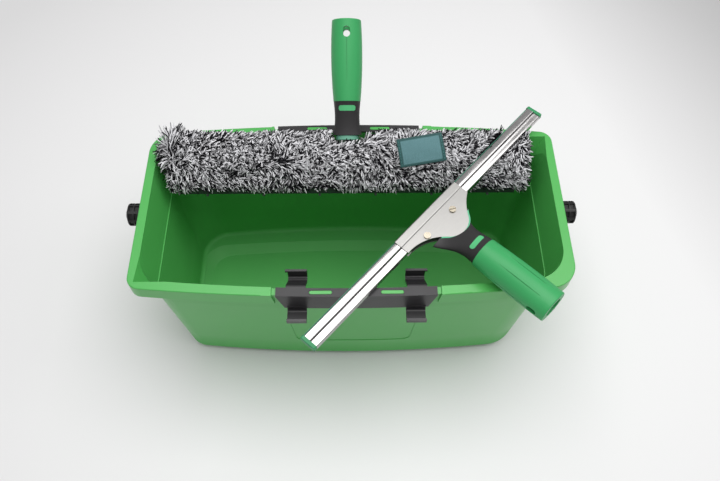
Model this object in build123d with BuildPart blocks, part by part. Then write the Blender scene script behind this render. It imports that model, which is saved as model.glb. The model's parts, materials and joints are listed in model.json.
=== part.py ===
"""Window-cleaning bucket set: oblong bucket, two clip-on rim brackets, bail, strip washer and squeegee.

Frame: millimetres, +Z up, origin at the centre of the bucket's base, +X along the bucket,
+Y to the back, where the washer's handle rises over the rim.
"""
import os
from math import atan2, cos, degrees, hypot, radians, sin

from build123d import *

# ---------------------------------------------------------------- driving dimensions
# bucket
rim_length = 546.0            # outside of the rim, along X
rim_width = 237.0             # outside of the rim at its corners, along Y
rim_bow = 14.0                # how far each long side bulges out at its middle
bucket_height = 236.0
rim_top_width = 11.5          # flat top of the rim
rim_plate = 3.0               # thickness of that top
rim_edge_round = 1.6
skirt_depth = 21.0            # rim skirt, down from the top
skirt_wall = 2.6
wall = 2.6                    # tub wall
step_height = 181.0           # step line that runs all round the tub
step_length = 505.0           # outside of the tub at the step
step_width = 215.0
step_ledge = 1.0              # narrow ledge inside, at the step
base_length = 479.0           # outside of the tub at its foot
base_width = 191.0
ledge_height = 8.0            # underside of the tub above the floor, beside the plinth
base_round = 9.0              # rounding between wall and base
plinth_length = 446.0         # raised well of the floor, seen from below as a plinth
plinth_width = 124.0
plinth_bow = 10.0
well_length = 470.0           # upper edge of the well
well_width = 146.0
well_round = 36.0             # corner of the well at its upper edge
well_foot_round = 30.0
well_draw = 8.0               # the well's floor is this much shorter and narrower than the plinth
plinth_round = 32.0
plinth_margin = 3.0           # plinth beyond the well where it meets the tub
floor_wall = 3.0
rim_round_radius = 34.0       # front right and rear left corners of the rim
rim_spout_radius = 17.0       # front left and rear right corners, which pour
tub_round_radius = 46.0
tub_spout_radius = 27.0
spout_drop = 38.0             # how far below the rim a spout's throat starts
spout_run = 35.0              # how far along the rim a spout reaches
spout_tip = (2.8, 3.6)        # the spout's tip beyond the rim's inner corner, along X and Y
spout_foot = (8.0, 1.6)       # its foot, drawn in from that corner
spout_swell = (4.0, 6.0)      # how far its throat swells out of the walls at the foot
spout_foot_run = 20.0
panel_width = 173.0           # plain recessed panel in the front and rear walls
panel_depth = 0.7
panel_low = 62.0
panel_high = 168.0
panel_draw = 8.0              # the panel narrows towards its foot by this much at each side
panel_corner = 13.0
trunnion_diameter = 26.5      # boss on the rim's end that the bail's hub turns beside

# rim brackets
bracket_length = 194.0
bracket_shift = 4.5           # front bracket to the right of the middle, rear one to the left
bracket_sheet = 3.0
bracket_skirt = 31.5          # height of the bracket's front plate
bracket_plate_taper = 9.0     # each end of the front plate draws in by this much
notch_margin = 2.0            # rim notch beyond the bracket at each end
notch_slant = 3.5
slot_offset = 43.0            # centre of each locating slot from the middle
slot_length = 28.0
slot_width = 5.4
slot_from_edge = 6.05         # centre of a slot from the bracket's outer edge
lug_gap = 0.5                 # between a slot and the rim lug in it
hook_offset = 73.0            # centre of each pair of hooks from the middle
hook_width = 24.0
outer_hook_drop = 38.0        # trough of an outer hook below the rim
outer_hook_reach = 19.5
outer_hook_lip = 10.5
outer_hook_flare = 1.0        # its lip leans out by this much
inner_hook_drop = 26.0        # trough of an inner hook below the rim
inner_hook_reach = 31.5
inner_hook_lip = 15.0
hook_spur = 2.8
bracket_opening_round = 30.0  # corners of the opening that the bracket's top edge follows
plate_set = 0.4               # outer hooks stand proud of the front plate's face by this much
hook_lap = 4.0                # outer hook up the front plate
hook_lead_in = 2.0            # inner hook inside the top bar
hook_lead_out = 4.6           # inner hook runs this far beyond the bar before it bends down
hook_foot = 8.0               # level trough of an inner hook
outer_hook_bend = 4.5
inner_hook_bend = 3.2

# bail
pivot_drop = 21.0             # pivots below the rim's top
pin_inset = 1.0               # inner end of a pin from the inside of the rim
arm_inset = 2.0               # bail's arm beyond the inner end of its hub
hub_diameter = 29.5
hub_round = 1.2
hub_cells = 8                 # pockets round the hub, in two rings
hub_cell_depth = 2.4
hub_cell_width = 8.0
hub_cell_rings = ((2.0, 5.6), (9.4, 5.2))    # start and length of each ring along the hub
hub_length = 19.6
hub_dome = 3.4                # bulge of the hub's outer end
hub_gap = 0.6                 # hub clear of the rim's trunnion
pin_diameter = 8.0
pin_running_gap = 0.05
pin_head_diameter = 14.0
pin_head_height = 3.0
pin_head_gap = (0.3, 0.4)     # round the pin's head and under it
bail_bar_height = 95.0        # height at which the parked crossbar rests behind the wall
bail_bar_gap = 0.4            # crossbar clear of the rear wall
bail_thickness = 8.0          # in the plane of the bail
bail_breadth = 18.0           # across the plane of the bail
bail_corner = 58.0
bail_edge_round = 2.2
bail_rib_start = 24.0         # rebate along the outside of the bail
bail_rib_depth = 2.2
bail_rib_margin = 3.5
hand_bar_length = 130.0
hand_bar_diameter = 21.0

# pole handles, shared by the washer and the squeegee
grip_length = 104.0
grip_side = (36.0, 41.0, 38.0)    # across the hanging hole: neck end, belly, mouth
grip_depth = (40.0, 43.0, 42.5)   # along the hanging hole
grip_belly = 0.55             # where along the grip it is widest
grip_mouth_round = 1.5
socket_radius = 12.0          # pole seat
socket_length = 45.0
socket_entry_radius = 12.6
socket_entry_length = 30.0
hang_slot_length = 13.6
hang_slot_width = 9.0
hang_slot_from_mouth = 16.5
groove_width = 0.9
groove_depth = 0.8
groove_start = 14.5           # from the neck end
groove_lap = 1.0              # into the hanging hole
side_groove_offset = 8.5      # two grooves on each side of the grip, this far off its middle
side_groove_depth = 18.0      # bottom of those grooves from the grip's axis
side_groove_length = 68.0
side_groove_shift = 4.0       # their middle, short of the belly
spigot_radius = 12.0          # neck spigot inside the grip
spigot_length = 24.0
fit_gap = 0.1                 # between mouldings that plug together
inlay_length = 22.0
inlay_width = 7.0
inlay_depth = 1.2
neck_step = 0.3               # neck inside the edge of the grip

# strip washer
washer_x = -6.0               # centre of the parked washer
washer_y = 74.0
washer_drop = 4.0             # its centre below the rim
washer_rise = 40.0            # handle above the horizontal, degrees
t_bar_length = 450.0
t_bar_edge = 44.0             # leading edge in front of the washer's centre
t_bar_back = 14.0
t_bar_half_thickness = 9.0
t_bar_edge_thickness = 4.0
t_bar_back_thickness = 13.0
nub_count = 6
nub_pitch = 75.6
nub_size = 3.0
hub_width = 31.0
hub_depth = 18.0
hub_corner = 4.0
hub_top = 28.0                # along the handle from the washer's centre
tenon_width = 20.0            # neck's tenon through the collar into the hub
tenon_depth = 9.0
tenon_reach = 15.0            # into the hub
collar_height = 6.0
collar_width = 30.0
collar_depth = 22.0
collar_round = 1.2
neck_length = 44.0            # from the collar to the grip
neck_foot = (19.4, 12.6)      # half width and half depth of the neck at the collar
neck_waist = (16.5, 13.4)     # at 0.6 of its length from the grip
neck_shoulder = (16.6, 16.0)  # at 0.3 of its length from the grip
washer_inlay_along = -9.0     # from the end of the grip
screw_tail = 1.0              # washer's screw ends this far inside the hub
sleeve_length = 486.0
sleeve_reach = 41.0           # half of the sleeve's section along the handle
sleeve_half_thickness = 25.0
sleeve_end_round = 9.0
sleeve_notch = 13.0           # opening for the collar, wider than it by this much
sleeve_notch_drop = 1.5       # and starting this far below it
sleeve_gap = 0.4              # sleeve clear of what it touches
label_length = 58.0
label_width = 36.0
label_sheet = 0.8
label_x = 89.0                # centre of the label from the washer's centre
label_s = 11.0
label_turn = 9.0              # degrees
label_cut = 4.0               # plane above which the label is kept

# squeegee
squeegee_x = 99.0             # middle of the channel as it lies
squeegee_y = -29.5
squeegee_heading = 47.6       # direction of the channel from +X, degrees
squeegee_pitch = 2.5          # far end up, degrees
handle_swing = 2.5            # handle off square to the channel, towards its near end, degrees
handle_shift = 1.6            # grip's axis towards the near end, where the neck ends
handle_rise = 9.8             # grip's axis above the channel's middle
seat_gap = 0.3                # squeegee clear of what it lies on
channel_length = 438.0
channel_width = 20.6
channel_height = 8.8
channel_sheet = 0.9
channel_step = 1.2            # the handle side of the channel is this much lower
channel_step_line = (-1.0, 0.6)   # where that step starts and ends across the channel
channel_bend = 1.0
rubber_reach = 1.7            # rubber beyond the channel
rubber_sheet = 1.9
rubber_bead = 4.6
bead_gap = 0.4
clip_length = 5.0
clip_plug = 12.0
clip_plug_width = 9.0
clip_corner = 2.0
clip_round = 1.2
clamp_length = 117.0
clamp_sheet = 1.2
clamp_gap = 0.1
clamp_lip = 1.0               # clamp's lip above the rubber
clamp_step_line = (-0.6, 1.0) # where the clamp follows the channel's step
clamp_bend = 1.1
clamp_lap = 2.0               # nose plate back over the channel
clamp_nose = 43.2             # tip of the clamp plate from the channel's centre line
clamp_shoulder = 11.0
nose_half_width = 20.0
nose_shift = 11.0             # the nose leans this far towards the channel's far end
screw_offset = 25.0
screw_line = 13.4
screw_diameter = 4.0
screw_head_diameter = 9.0
screw_head_height = 2.2
screw_slot = 1.1
nut_width = 7.0
nut_height = 3.0
screw_end = 0.5               # screw beyond its nut
nose_rise = 9.7               # height of the nose's arc
trim_width = 1.8              # green trim round the nose
trim_height = 2.6
squeegee_neck_end = 80.0
squeegee_neck_lap = 2.0       # last section beyond that, cut off at the grip
# squeegee neck: along the handle, half width, half depth, height above the channel's middle
# and distance from its middle line towards the near end
squeegee_neck_shape = ((27.0, 33.0, 5.2, -0.6, -3.0), (42.0, 24.5, 8.0, 0.5, -2.0),
                       (54.0, 20.0, 11.5, 3.5, -1.5), (68.0, 18.6, 15.0, 6.5, -0.8))
core_inset = 0.4              # neck's core inside the edge of the clamp plates
trim_ledge = 2.4              # ledge under the trim, beyond the plate
trim_back = 28.0              # trim is seen from here outwards
squeegee_inlay_along = 68.0
screw_turn = 35.0             # slots of the screws from the channel's direction

os.makedirs("parts", exist_ok=True)


def save(builder, name):
    """Label a finished piece and write its STEP file."""
    builder.part.label = name
    export_step(builder.part, f"parts/{name}.step")


# ---------------------------------------------------------------- bucket
def oblong(plane, length, width, bow, round_radius, spout_radius):
    """Sketch of the bucket's plan: bowed long sides, two round corners and two pouring ones."""
    half_length, half_width = length / 2, width / 2
    with BuildSketch(plane) as plan:
        with BuildLine():
            ThreePointArc((-half_length, -half_width), (0, -half_width - bow), (half_length, -half_width))
            Line((half_length, -half_width), (half_length, half_width))
            ThreePointArc((half_length, half_width), (0, half_width + bow), (-half_length, half_width))
            Line((-half_length, half_width), (-half_length, -half_width))
        make_face()
        corners = plan.vertices().sort_by(lambda v: v.X * v.Y)
        fillet(corners[2:], radius=spout_radius)
        corners = plan.vertices().sort_by(lambda v: v.X - v.Y)
        fillet([corners[0], corners[-1]], radius=round_radius)
    return plan.sketch


def level(height):
    """Horizontal plane at a height."""
    return Plane.XY.offset(height)


def rim_plan(height, inset):
    """Plan of the rim's outside, drawn in by inset."""
    return oblong(level(height), rim_length - 2 * inset, rim_width - 2 * inset, rim_bow,
                  rim_round_radius - inset, max(rim_spout_radius - inset, 2))


rim_inner_length = rim_length - 2 * rim_top_width
rim_inner_width = rim_width - 2 * rim_top_width


def tub_plan(height, length, width, inset):
    """Plan of the tub's wall at a height, drawn in by inset."""
    return oblong(level(height), length - 2 * inset, width - 2 * inset, rim_bow,
                  tub_round_radius - inset, tub_spout_radius - inset)


def tub_half_width(height):
    """Outside of the rear wall at its corners, at a height below the step."""
    share = (height - ledge_height) / (step_height - ledge_height)
    return (base_width + share * (step_width - base_width)) / 2


with BuildPart() as tub_outside:
    add(tub_plan(ledge_height, base_length, base_width, 0))
    add(tub_plan(step_height, step_length, step_width, 0))
    loft(ruled=True)
    fillet(tub_outside.faces().sort_by(Axis.Z)[0].edges(), radius=base_round)

with BuildPart() as upper_outside:
    add(tub_plan(step_height, step_length, step_width, 0))
    add(tub_plan(bucket_height, rim_inner_length + 2 * wall, rim_inner_width + 2 * wall, 0))
    loft(ruled=True)

with BuildPart() as tub_inside:
    add(tub_plan(ledge_height + floor_wall, base_length, base_width, wall))
    add(tub_plan(step_height, step_length, step_width, wall))
    loft(ruled=True)
    fillet(tub_inside.faces().sort_by(Axis.Z)[0].edges(), radius=base_round - wall)

with BuildPart() as upper_inside:
    add(tub_plan(step_height, step_length, step_width, wall - step_ledge))
    add(tub_plan(bucket_height, rim_inner_length, rim_inner_width, 0))
    loft(ruled=True)

with BuildPart() as well_inside:
    add(oblong(level(floor_wall), plinth_length - well_draw, plinth_width - well_draw, plinth_bow,
               well_foot_round, well_foot_round))
    add(oblong(level(ledge_height + floor_wall), well_length, well_width, plinth_bow, well_round, well_round))
    loft(ruled=True)

with BuildPart() as plinth:
    add(oblong(level(0), plinth_length, plinth_width, plinth_bow, plinth_round, plinth_round))
    add(oblong(level(ledge_height + 1), well_length + plinth_margin, well_width + plinth_margin,
               plinth_bow, well_round + 2, well_round + 2))
    loft(ruled=True)


def wall_skin(outer, length_low, width_low, low, inset):
    """Thin skin of the tub's wall inside outer, kept where the front and rear panels are."""
    with BuildPart() as core:
        add(tub_plan(low, length_low, width_low, inset))
        add(tub_plan(step_height, step_length, step_width, inset))
        loft(ruled=True)
    with BuildPart() as skin:
        add(outer.part)
        add(core.part, mode=Mode.SUBTRACT)
        with BuildSketch(Plane.XZ) as window:
            with BuildLine():
                Polyline((-panel_width / 2, panel_high), (panel_width / 2, panel_high),
                         (panel_width / 2 - panel_draw, panel_low),
                         (-panel_width / 2 + panel_draw, panel_low), close=True)
            make_face()
            fillet(window.vertices(), radius=panel_corner)
        extrude(amount=rim_width, both=True, mode=Mode.INTERSECT)
    return skin


panel_recess = wall_skin(tub_outside, base_length, base_width, ledge_height, panel_depth)
panel_pad = wall_skin(tub_inside, base_length, base_width, ledge_height + floor_wall, wall + panel_depth)

half_notch = bracket_length / 2 + notch_margin
saddle_half = half_notch + notch_slant + skirt_wall + bracket_shift


def spout_throat(grow):
    """Front left pouring throat; grow=0 is the inside, grow=wall the outside."""
    inner_x, inner_y = rim_inner_length / 2, rim_inner_width / 2
    corner = tub_spout_radius * (1 - cos(radians(45)))
    low_x = inner_x - spout_foot[0] - corner
    low_y = inner_y - spout_foot[1] - corner
    side_x, side_y = low_x + spout_swell[0] + grow, low_y + spout_swell[1] + grow
    tip_x, tip_y = inner_x + spout_tip[0] + grow, inner_y + spout_tip[1] + grow
    with BuildPart() as throat:
        with BuildSketch(level(bucket_height - spout_drop)):
            with BuildLine():
                Polyline((-side_x, -low_y + spout_foot_run),
                         (-low_x - grow * cos(radians(45)), -low_y - grow * cos(radians(45))),
                         (-low_x + spout_foot_run, -side_y),
                         (-low_x + spout_foot_run, -low_y + spout_foot_run), close=True)
            make_face()
        with BuildSketch(level(bucket_height)):
            with BuildLine():
                Polyline((-inner_x - grow, -inner_y + spout_run), (-tip_x, -tip_y),
                         (-inner_x + spout_run, -tip_y), (-inner_x + spout_run, -inner_y + spout_run),
                         close=True)
            make_face()
        loft(ruled=True)
    return throat


throat_outside = spout_throat(wall)
throat_inside = spout_throat(0)

with BuildPart() as rim_saddle:
    add(rim_plan(bucket_height - skirt_depth, 0))
    extrude(amount=skirt_depth)
    add(rim_plan(bucket_height - skirt_depth, 2 * skirt_wall))
    extrude(amount=skirt_depth - rim_plate - bracket_sheet, mode=Mode.SUBTRACT)
    with BuildSketch(level(bucket_height - skirt_depth)):
        Rectangle(2 * saddle_half, 2 * rim_width)
    extrude(amount=skirt_depth, mode=Mode.INTERSECT)

lug_line = rim_width / 2 + rim_bow - slot_from_edge

with BuildPart() as notch_cut:
    add(rim_plan(bucket_height - skirt_depth, -1))
    extrude(amount=skirt_depth + 1)
    add(rim_plan(bucket_height - skirt_depth, skirt_wall))
    extrude(amount=skirt_depth - bracket_sheet, mode=Mode.SUBTRACT)
    with BuildSketch(Plane.XZ):
        with BuildLine():
            left, right = bracket_shift - half_notch, bracket_shift + half_notch
            low, high = bucket_height - skirt_depth, bucket_height + 1
            Polyline((left, low), (left - notch_slant, high), (right + notch_slant, high), (right, low),
                     close=True)
        make_face()
    extrude(amount=rim_width, mode=Mode.INTERSECT)
    with BuildSketch(level(bucket_height - bracket_sheet)):
        with Locations(*[(bracket_shift + side * slot_offset, -lug_line) for side in (-1, 1)]):
            SlotOverall(slot_length - 2 * lug_gap, slot_width - 2 * lug_gap)
    extrude(amount=bracket_sheet, mode=Mode.SUBTRACT)

pivot_height = bucket_height - pivot_drop


def pin_plane(side):
    """Inner end of a pivot pin, with the plane's normal pointing out of the bucket."""
    return Plane(origin=(side * (rim_length / 2 - rim_top_width + pin_inset), 0, pivot_height),
                 x_dir=(0, 1, 0), z_dir=(side, 0, 0))


with BuildPart() as bucket:
    add(rim_plan(bucket_height - skirt_depth, 0))
    extrude(amount=skirt_depth)
    fillet(bucket.faces().sort_by(Axis.Z)[-1].edges(), radius=rim_edge_round)
    add(rim_plan(bucket_height - skirt_depth, skirt_wall))
    extrude(amount=skirt_depth - rim_plate, mode=Mode.SUBTRACT)
    add(rim_saddle.part)
    add(upper_outside.part)
    add(tub_outside.part)
    add(plinth.part)
    add(throat_outside.part)
    add(throat_outside.part, rotation=(0, 0, 180))
    with Locations(Plane.YZ.offset(rim_inner_length / 2 - wall), Plane.YZ.offset(-rim_length / 2)):
        with Locations((0, pivot_height)):
            Cylinder(trunnion_diameter / 2, rim_top_width + wall,
                     align=(Align.CENTER, Align.CENTER, Align.MIN))
    add(panel_recess.part, mode=Mode.SUBTRACT)
    add(upper_inside.part, mode=Mode.SUBTRACT)
    add(tub_inside.part, mode=Mode.SUBTRACT)
    add(well_inside.part, mode=Mode.SUBTRACT)
    add(throat_inside.part, mode=Mode.SUBTRACT)
    add(throat_inside.part, rotation=(0, 0, 180), mode=Mode.SUBTRACT)
    for turn in (0, 180):
        add(notch_cut.part, rotation=(0, 0, turn), mode=Mode.SUBTRACT)
    add(panel_pad.part)
    for side in (-1, 1):
        with BuildSketch(pin_plane(side)):
            Circle(pin_diameter / 2)
        extrude(amount=2 * rim_top_width, mode=Mode.SUBTRACT)
save(bucket, "bucket")


# ---------------------------------------------------------------- rim brackets
def hook_profile(points, radius):
    """Closed sheet-metal-like strip of the bracket's thickness along points in the YZ plane."""
    with BuildSketch(Plane.YZ) as strip:
        with BuildLine() as line:
            FilletPolyline(*points, radius=radius)
        trace(line.line, line_width=bracket_sheet)
    return strip.sketch


rim_front = -(rim_width / 2 + rim_bow * (1 - (2 * hook_offset / rim_length) ** 2))
plate_mid = rim_front + bracket_sheet / 2 - plate_set
bar_inner = rim_front + rim_top_width - bracket_sheet / 2
hook_top = bucket_height - bracket_sheet / 2

with BuildPart() as front_bracket:
    add(rim_plan(bucket_height - bracket_skirt, 0))
    extrude(amount=bracket_skirt)
    add(rim_plan(bucket_height - bracket_skirt, skirt_wall))
    extrude(amount=bracket_skirt - bracket_sheet, mode=Mode.SUBTRACT)
    add(oblong(level(bucket_height - bracket_sheet), rim_inner_length, rim_inner_width, rim_bow,
               bracket_opening_round, bracket_opening_round))
    extrude(amount=bracket_sheet, mode=Mode.SUBTRACT)
    with BuildSketch(Plane.XZ):
        with BuildLine():
            left, right = bracket_shift - bracket_length / 2, bracket_shift + bracket_length / 2
            low, high = bucket_height - bracket_skirt, bucket_height
            Polyline((left + bracket_plate_taper, low), (left, high - bracket_sheet), (left, high),
                     (right, high), (right, high - bracket_sheet), (right - bracket_plate_taper, low),
                     close=True)
        make_face()
    extrude(amount=rim_width, mode=Mode.INTERSECT)
    with BuildSketch(level(bucket_height - bracket_sheet)):
        with Locations((bracket_shift - slot_offset, -lug_line), (bracket_shift + slot_offset, -lug_line)):
            SlotOverall(slot_length, slot_width)
    extrude(amount=bracket_sheet, mode=Mode.SUBTRACT)
    outer_hook = hook_profile(
        [(plate_mid, bucket_height - bracket_skirt + hook_lap), (plate_mid, bucket_height - outer_hook_drop),
         (plate_mid - outer_hook_reach + outer_hook_flare, bucket_height - outer_hook_drop),
         (plate_mid - outer_hook_reach, bucket_height - outer_hook_drop + outer_hook_lip)],
        outer_hook_bend)
    inner_hook = hook_profile(
        [(bar_inner - hook_lead_in, hook_top), (bar_inner + hook_lead_out, hook_top),
         (bar_inner + inner_hook_reach - hook_foot, bucket_height - inner_hook_drop),
         (bar_inner + inner_hook_reach, bucket_height - inner_hook_drop),
         (bar_inner + inner_hook_reach, bucket_height - inner_hook_drop + inner_hook_lip)],
        inner_hook_bend)
    for side in (-1, 1):
        for profile in (outer_hook, inner_hook):
            add(profile.moved(Location((bracket_shift + side * hook_offset - hook_width / 2, 0, 0))))
            extrude(amount=hook_width, dir=(1, 0, 0))
        spur_x = bracket_shift + side * (hook_offset + hook_width / 2)
        spur_z = bucket_height - inner_hook_drop + inner_hook_lip - hook_spur / 2
        with Locations((spur_x, bar_inner + inner_hook_reach, spur_z)):
            Box(2 * hook_spur, bracket_sheet, hook_spur)
save(front_bracket, "front_bracket")

with BuildPart() as rear_bracket:
    add(front_bracket.part, rotation=(0, 0, 180))
save(rear_bracket, "rear_bracket")

# ---------------------------------------------------------------- bail and its pins
rear_wall = tub_half_width(bail_bar_height) + rim_bow
bar_y = rear_wall + hand_bar_diameter / 2 + bail_bar_gap
bail_reach = hypot(bar_y, pivot_height - bail_bar_height)
bail_droop = degrees(atan2(pivot_height - bail_bar_height, bar_y))
hub_start = rim_length / 2 + hub_gap
hub_end = hub_start + hub_length
arm_x = hub_start + arm_inset + bail_thickness / 2
# local x is +X and local y runs from the pivots to the crossbar
bail_plane = Plane(origin=(0, 0, pivot_height), x_dir=(1, 0, 0),
                   z_dir=(0, sin(radians(bail_droop)), cos(radians(bail_droop))))



def hub_plane(side):
    """Inner end of a hub of the bail, with the plane's normal pointing out of the bucket."""
    return Plane(origin=(side * hub_start, 0, pivot_height), x_dir=(0, 1, 0), z_dir=(side, 0, 0))


def hub(side):
    """Hub of the bail: a short drum with a domed end and two rings of pockets clear of the arm."""
    dome = (hub_diameter ** 2 / 4 + hub_dome ** 2) / (2 * hub_dome)
    with BuildPart() as drum:
        with BuildSketch(hub_plane(side)):
            Circle(hub_diameter / 2)
        extrude(amount=hub_length)
        with Locations(hub_plane(side).offset(hub_length - dome)):
            Sphere(dome, mode=Mode.INTERSECT)
        rim_line = drum.edges().filter_by(lambda e: abs(e.center().X) > abs(hub_start) + hub_length / 2)
        fillet(rim_line.filter_by(GeomType.CIRCLE), radius=hub_round)
        for start, length in hub_cell_rings:
            with BuildSketch(hub_plane(side).offset(start)):
                with PolarLocations(hub_diameter / 2, hub_cells // 2 + 1, start_angle=90 - side * bail_droop,
                                    angular_range=180, endpoint=True):
                    Rectangle(2 * hub_cell_depth, hub_cell_width)
            extrude(amount=length, mode=Mode.SUBTRACT)
    return drum.part


with BuildPart() as bail:
    with BuildSketch(bail_plane):
        with BuildLine() as bow:
            FilletPolyline((-arm_x, 0), (-arm_x, bail_reach), (arm_x, bail_reach), (arm_x, 0),
                           radius=bail_corner)
        trace(bow.line, line_width=bail_thickness)
    extrude(amount=bail_breadth / 2, both=True)
    fillet(bail.edges().filter_by(GeomType.CIRCLE), radius=bail_edge_round)
    with BuildSketch(bail_plane):
        with BuildLine() as rib_line:
            rib_x, rib_y = arm_x + bail_thickness / 2, bail_reach + bail_thickness / 2
            FilletPolyline((-rib_x, bail_rib_start), (-rib_x, rib_y), (rib_x, rib_y), (rib_x, bail_rib_start),
                           radius=bail_corner + bail_thickness / 2)
        trace(rib_line.line, line_width=2 * bail_rib_depth)
    extrude(amount=bail_breadth / 2 - bail_rib_margin, both=True, mode=Mode.SUBTRACT)
    with Locations(bail_plane * Location((0, bail_reach, 0), (0, 90, 0))):
        Cylinder(hand_bar_diameter / 2, hand_bar_length)
    for side in (-1, 1):
        add(hub(side))
        with BuildSketch(hub_plane(side)):
            Circle(pin_diameter / 2 + pin_running_gap)
        extrude(amount=hub_length, mode=Mode.SUBTRACT)
        with BuildSketch(hub_plane(side).offset(hub_length - pin_head_height - pin_head_gap[1])):
            Circle(pin_head_diameter / 2 + pin_head_gap[0])
        extrude(amount=pin_head_height + pin_head_gap[1], mode=Mode.SUBTRACT)
save(bail, "bail")

with BuildPart() as pivot_pins:
    for side in (-1, 1):
        shank = rim_top_width - pin_inset + hub_gap + hub_length - pin_head_height - pin_head_gap[1] / 2
        with BuildSketch(pin_plane(side)):
            Circle(pin_diameter / 2)
        extrude(amount=shank)
        with BuildSketch(pin_plane(side).offset(shank)):
            Circle(pin_head_diameter / 2)
        extrude(amount=pin_head_height)
save(pivot_pins, "pivot_pins")


# ---------------------------------------------------------------- pole handle, used twice
def across(frame, along):
    """Plane across a frame's y axis at a distance along it; sketch x is the frame's x."""
    return Plane(origin=frame.from_local_coords((0, along, 0)), x_dir=frame.x_dir, z_dir=frame.y_dir)


def lengthwise(frame, at_x=0.0):
    """Plane across a frame's x axis; sketch x is the frame's y and sketch y its z."""
    return Plane(origin=frame.from_local_coords((at_x, 0, 0)), x_dir=frame.y_dir, z_dir=frame.x_dir)


def pole_grip(frame):
    """Grip with a pole socket: y runs from the neck end to the mouth, z is the hanging hole's axis."""
    stations = (0.0, grip_belly * grip_length, grip_length)
    with BuildPart() as grip:
        for along, side, depth in zip(stations, grip_side, grip_depth):
            with BuildSketch(across(frame, along)):
                Ellipse(side / 2, depth / 2)
        loft()
        mouth = grip.faces().sort_by(lambda f: (f.center() - frame.origin).dot(frame.y_dir))[-1]
        fillet(mouth.edges(), radius=grip_mouth_round)
        with BuildSketch(across(frame, grip_length)):
            Circle(socket_entry_radius)
        extrude(amount=-socket_entry_length, mode=Mode.SUBTRACT)
        with BuildSketch(across(frame, grip_length - socket_entry_length)):
            Circle(socket_radius)
        extrude(amount=-socket_length, mode=Mode.SUBTRACT)
        with BuildSketch(across(frame, 0)):
            Circle(spigot_radius + fit_gap)
        extrude(amount=spigot_length + fit_gap, mode=Mode.SUBTRACT)
        with BuildSketch(frame):
            with Locations((0, grip_length - hang_slot_from_mouth)):
                SlotOverall(hang_slot_length, hang_slot_width, rotation=90)
        extrude(amount=grip_depth[1], both=True, mode=Mode.SUBTRACT)
        groove_end = grip_length - hang_slot_from_mouth - hang_slot_length / 2 + groove_lap
        side_groove_at = grip_belly * grip_length - side_groove_shift
        for side in (-1, 1):
            with BuildSketch(frame.offset(side * (grip_depth[1] / 2 - groove_depth))):
                with Locations((0, (groove_start + groove_end) / 2)):
                    Rectangle(groove_width, groove_end - groove_start)
            extrude(amount=side * 2 * groove_depth, mode=Mode.SUBTRACT)
            flank = Plane(origin=frame.from_local_coords((side * side_groove_depth, 0, 0)),
                          x_dir=frame.y_dir, z_dir=frame.x_dir)
            with BuildSketch(flank):
                with Locations((side_groove_at, side_groove_offset), (side_groove_at, -side_groove_offset)):
                    Rectangle(side_groove_length, groove_width)
            extrude(amount=side * 4 * groove_depth, mode=Mode.SUBTRACT)
    return grip


def neck_loft(frame, sections, shrink):
    """Solid through elliptical sections (along, half width, half depth, lift, aside), drawn in by shrink."""
    with BuildPart() as body:
        for along, half_width, half_depth, lift, aside in sections:
            plane = Plane(origin=frame.from_local_coords((aside, along, lift)), x_dir=frame.x_dir,
                          z_dir=frame.y_dir)
            with BuildSketch(plane):
                Ellipse(half_width - shrink, half_depth - shrink)
        loft()
    return body


def neck_inlay(frame, sections, along, spare):
    """Rounded bar let into the top of a neck, or with spare its pocket."""
    with BuildPart() as bar:
        with BuildSketch(frame):
            with Locations((0, along)):
                RectangleRounded(inlay_length + 2 * spare, inlay_width + 2 * spare, inlay_width / 2.5)
        extrude(amount=grip_depth[1])
        add(neck_loft(frame, sections, 0).part, mode=Mode.INTERSECT)
        add(neck_loft(frame, sections, inlay_depth + spare).part, mode=Mode.SUBTRACT)
    return bar


# ---------------------------------------------------------------- strip washer
washer = Plane(origin=(washer_x, washer_y, bucket_height - washer_drop), x_dir=(1, 0, 0),
               z_dir=(0, -sin(radians(washer_rise)), cos(radians(washer_rise))))
washer_grip_frame = Plane(origin=washer.from_local_coords((0, hub_top + collar_height + neck_length, 0)),
                          x_dir=washer.x_dir, z_dir=washer.z_dir)
washer_neck_sections = [(-neck_length, *neck_foot, 0, 0), (-0.6 * neck_length, *neck_waist, 0, 0),
                        (-0.3 * neck_length, *neck_shoulder, 0, 0),
                        (0, grip_side[0] / 2 - neck_step, grip_depth[0] / 2 - neck_step, 0, 0)]
tenon_length = collar_height + tenon_reach


def t_bar_section(spare):
    """Section of the T-bar in its y-z plane, grown by spare."""
    with BuildSketch(lengthwise(washer)) as section:
        with BuildLine():
            edge, belly, back = t_bar_edge_thickness / 2, t_bar_half_thickness, t_bar_back_thickness / 2
            ThreePointArc((t_bar_back, back), (0, belly), (-t_bar_edge, edge))
            Line((-t_bar_edge, edge), (-t_bar_edge, -edge))
            ThreePointArc((-t_bar_edge, -edge), (0, -belly), (t_bar_back, -back))
            Line((t_bar_back, -back), (t_bar_back, back))
        make_face()
        if spare:
            offset(amount=spare)
    return section.sketch


nub_places = [((i - (nub_count - 1) / 2) * nub_pitch, -t_bar_edge) for i in range(nub_count)]

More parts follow.
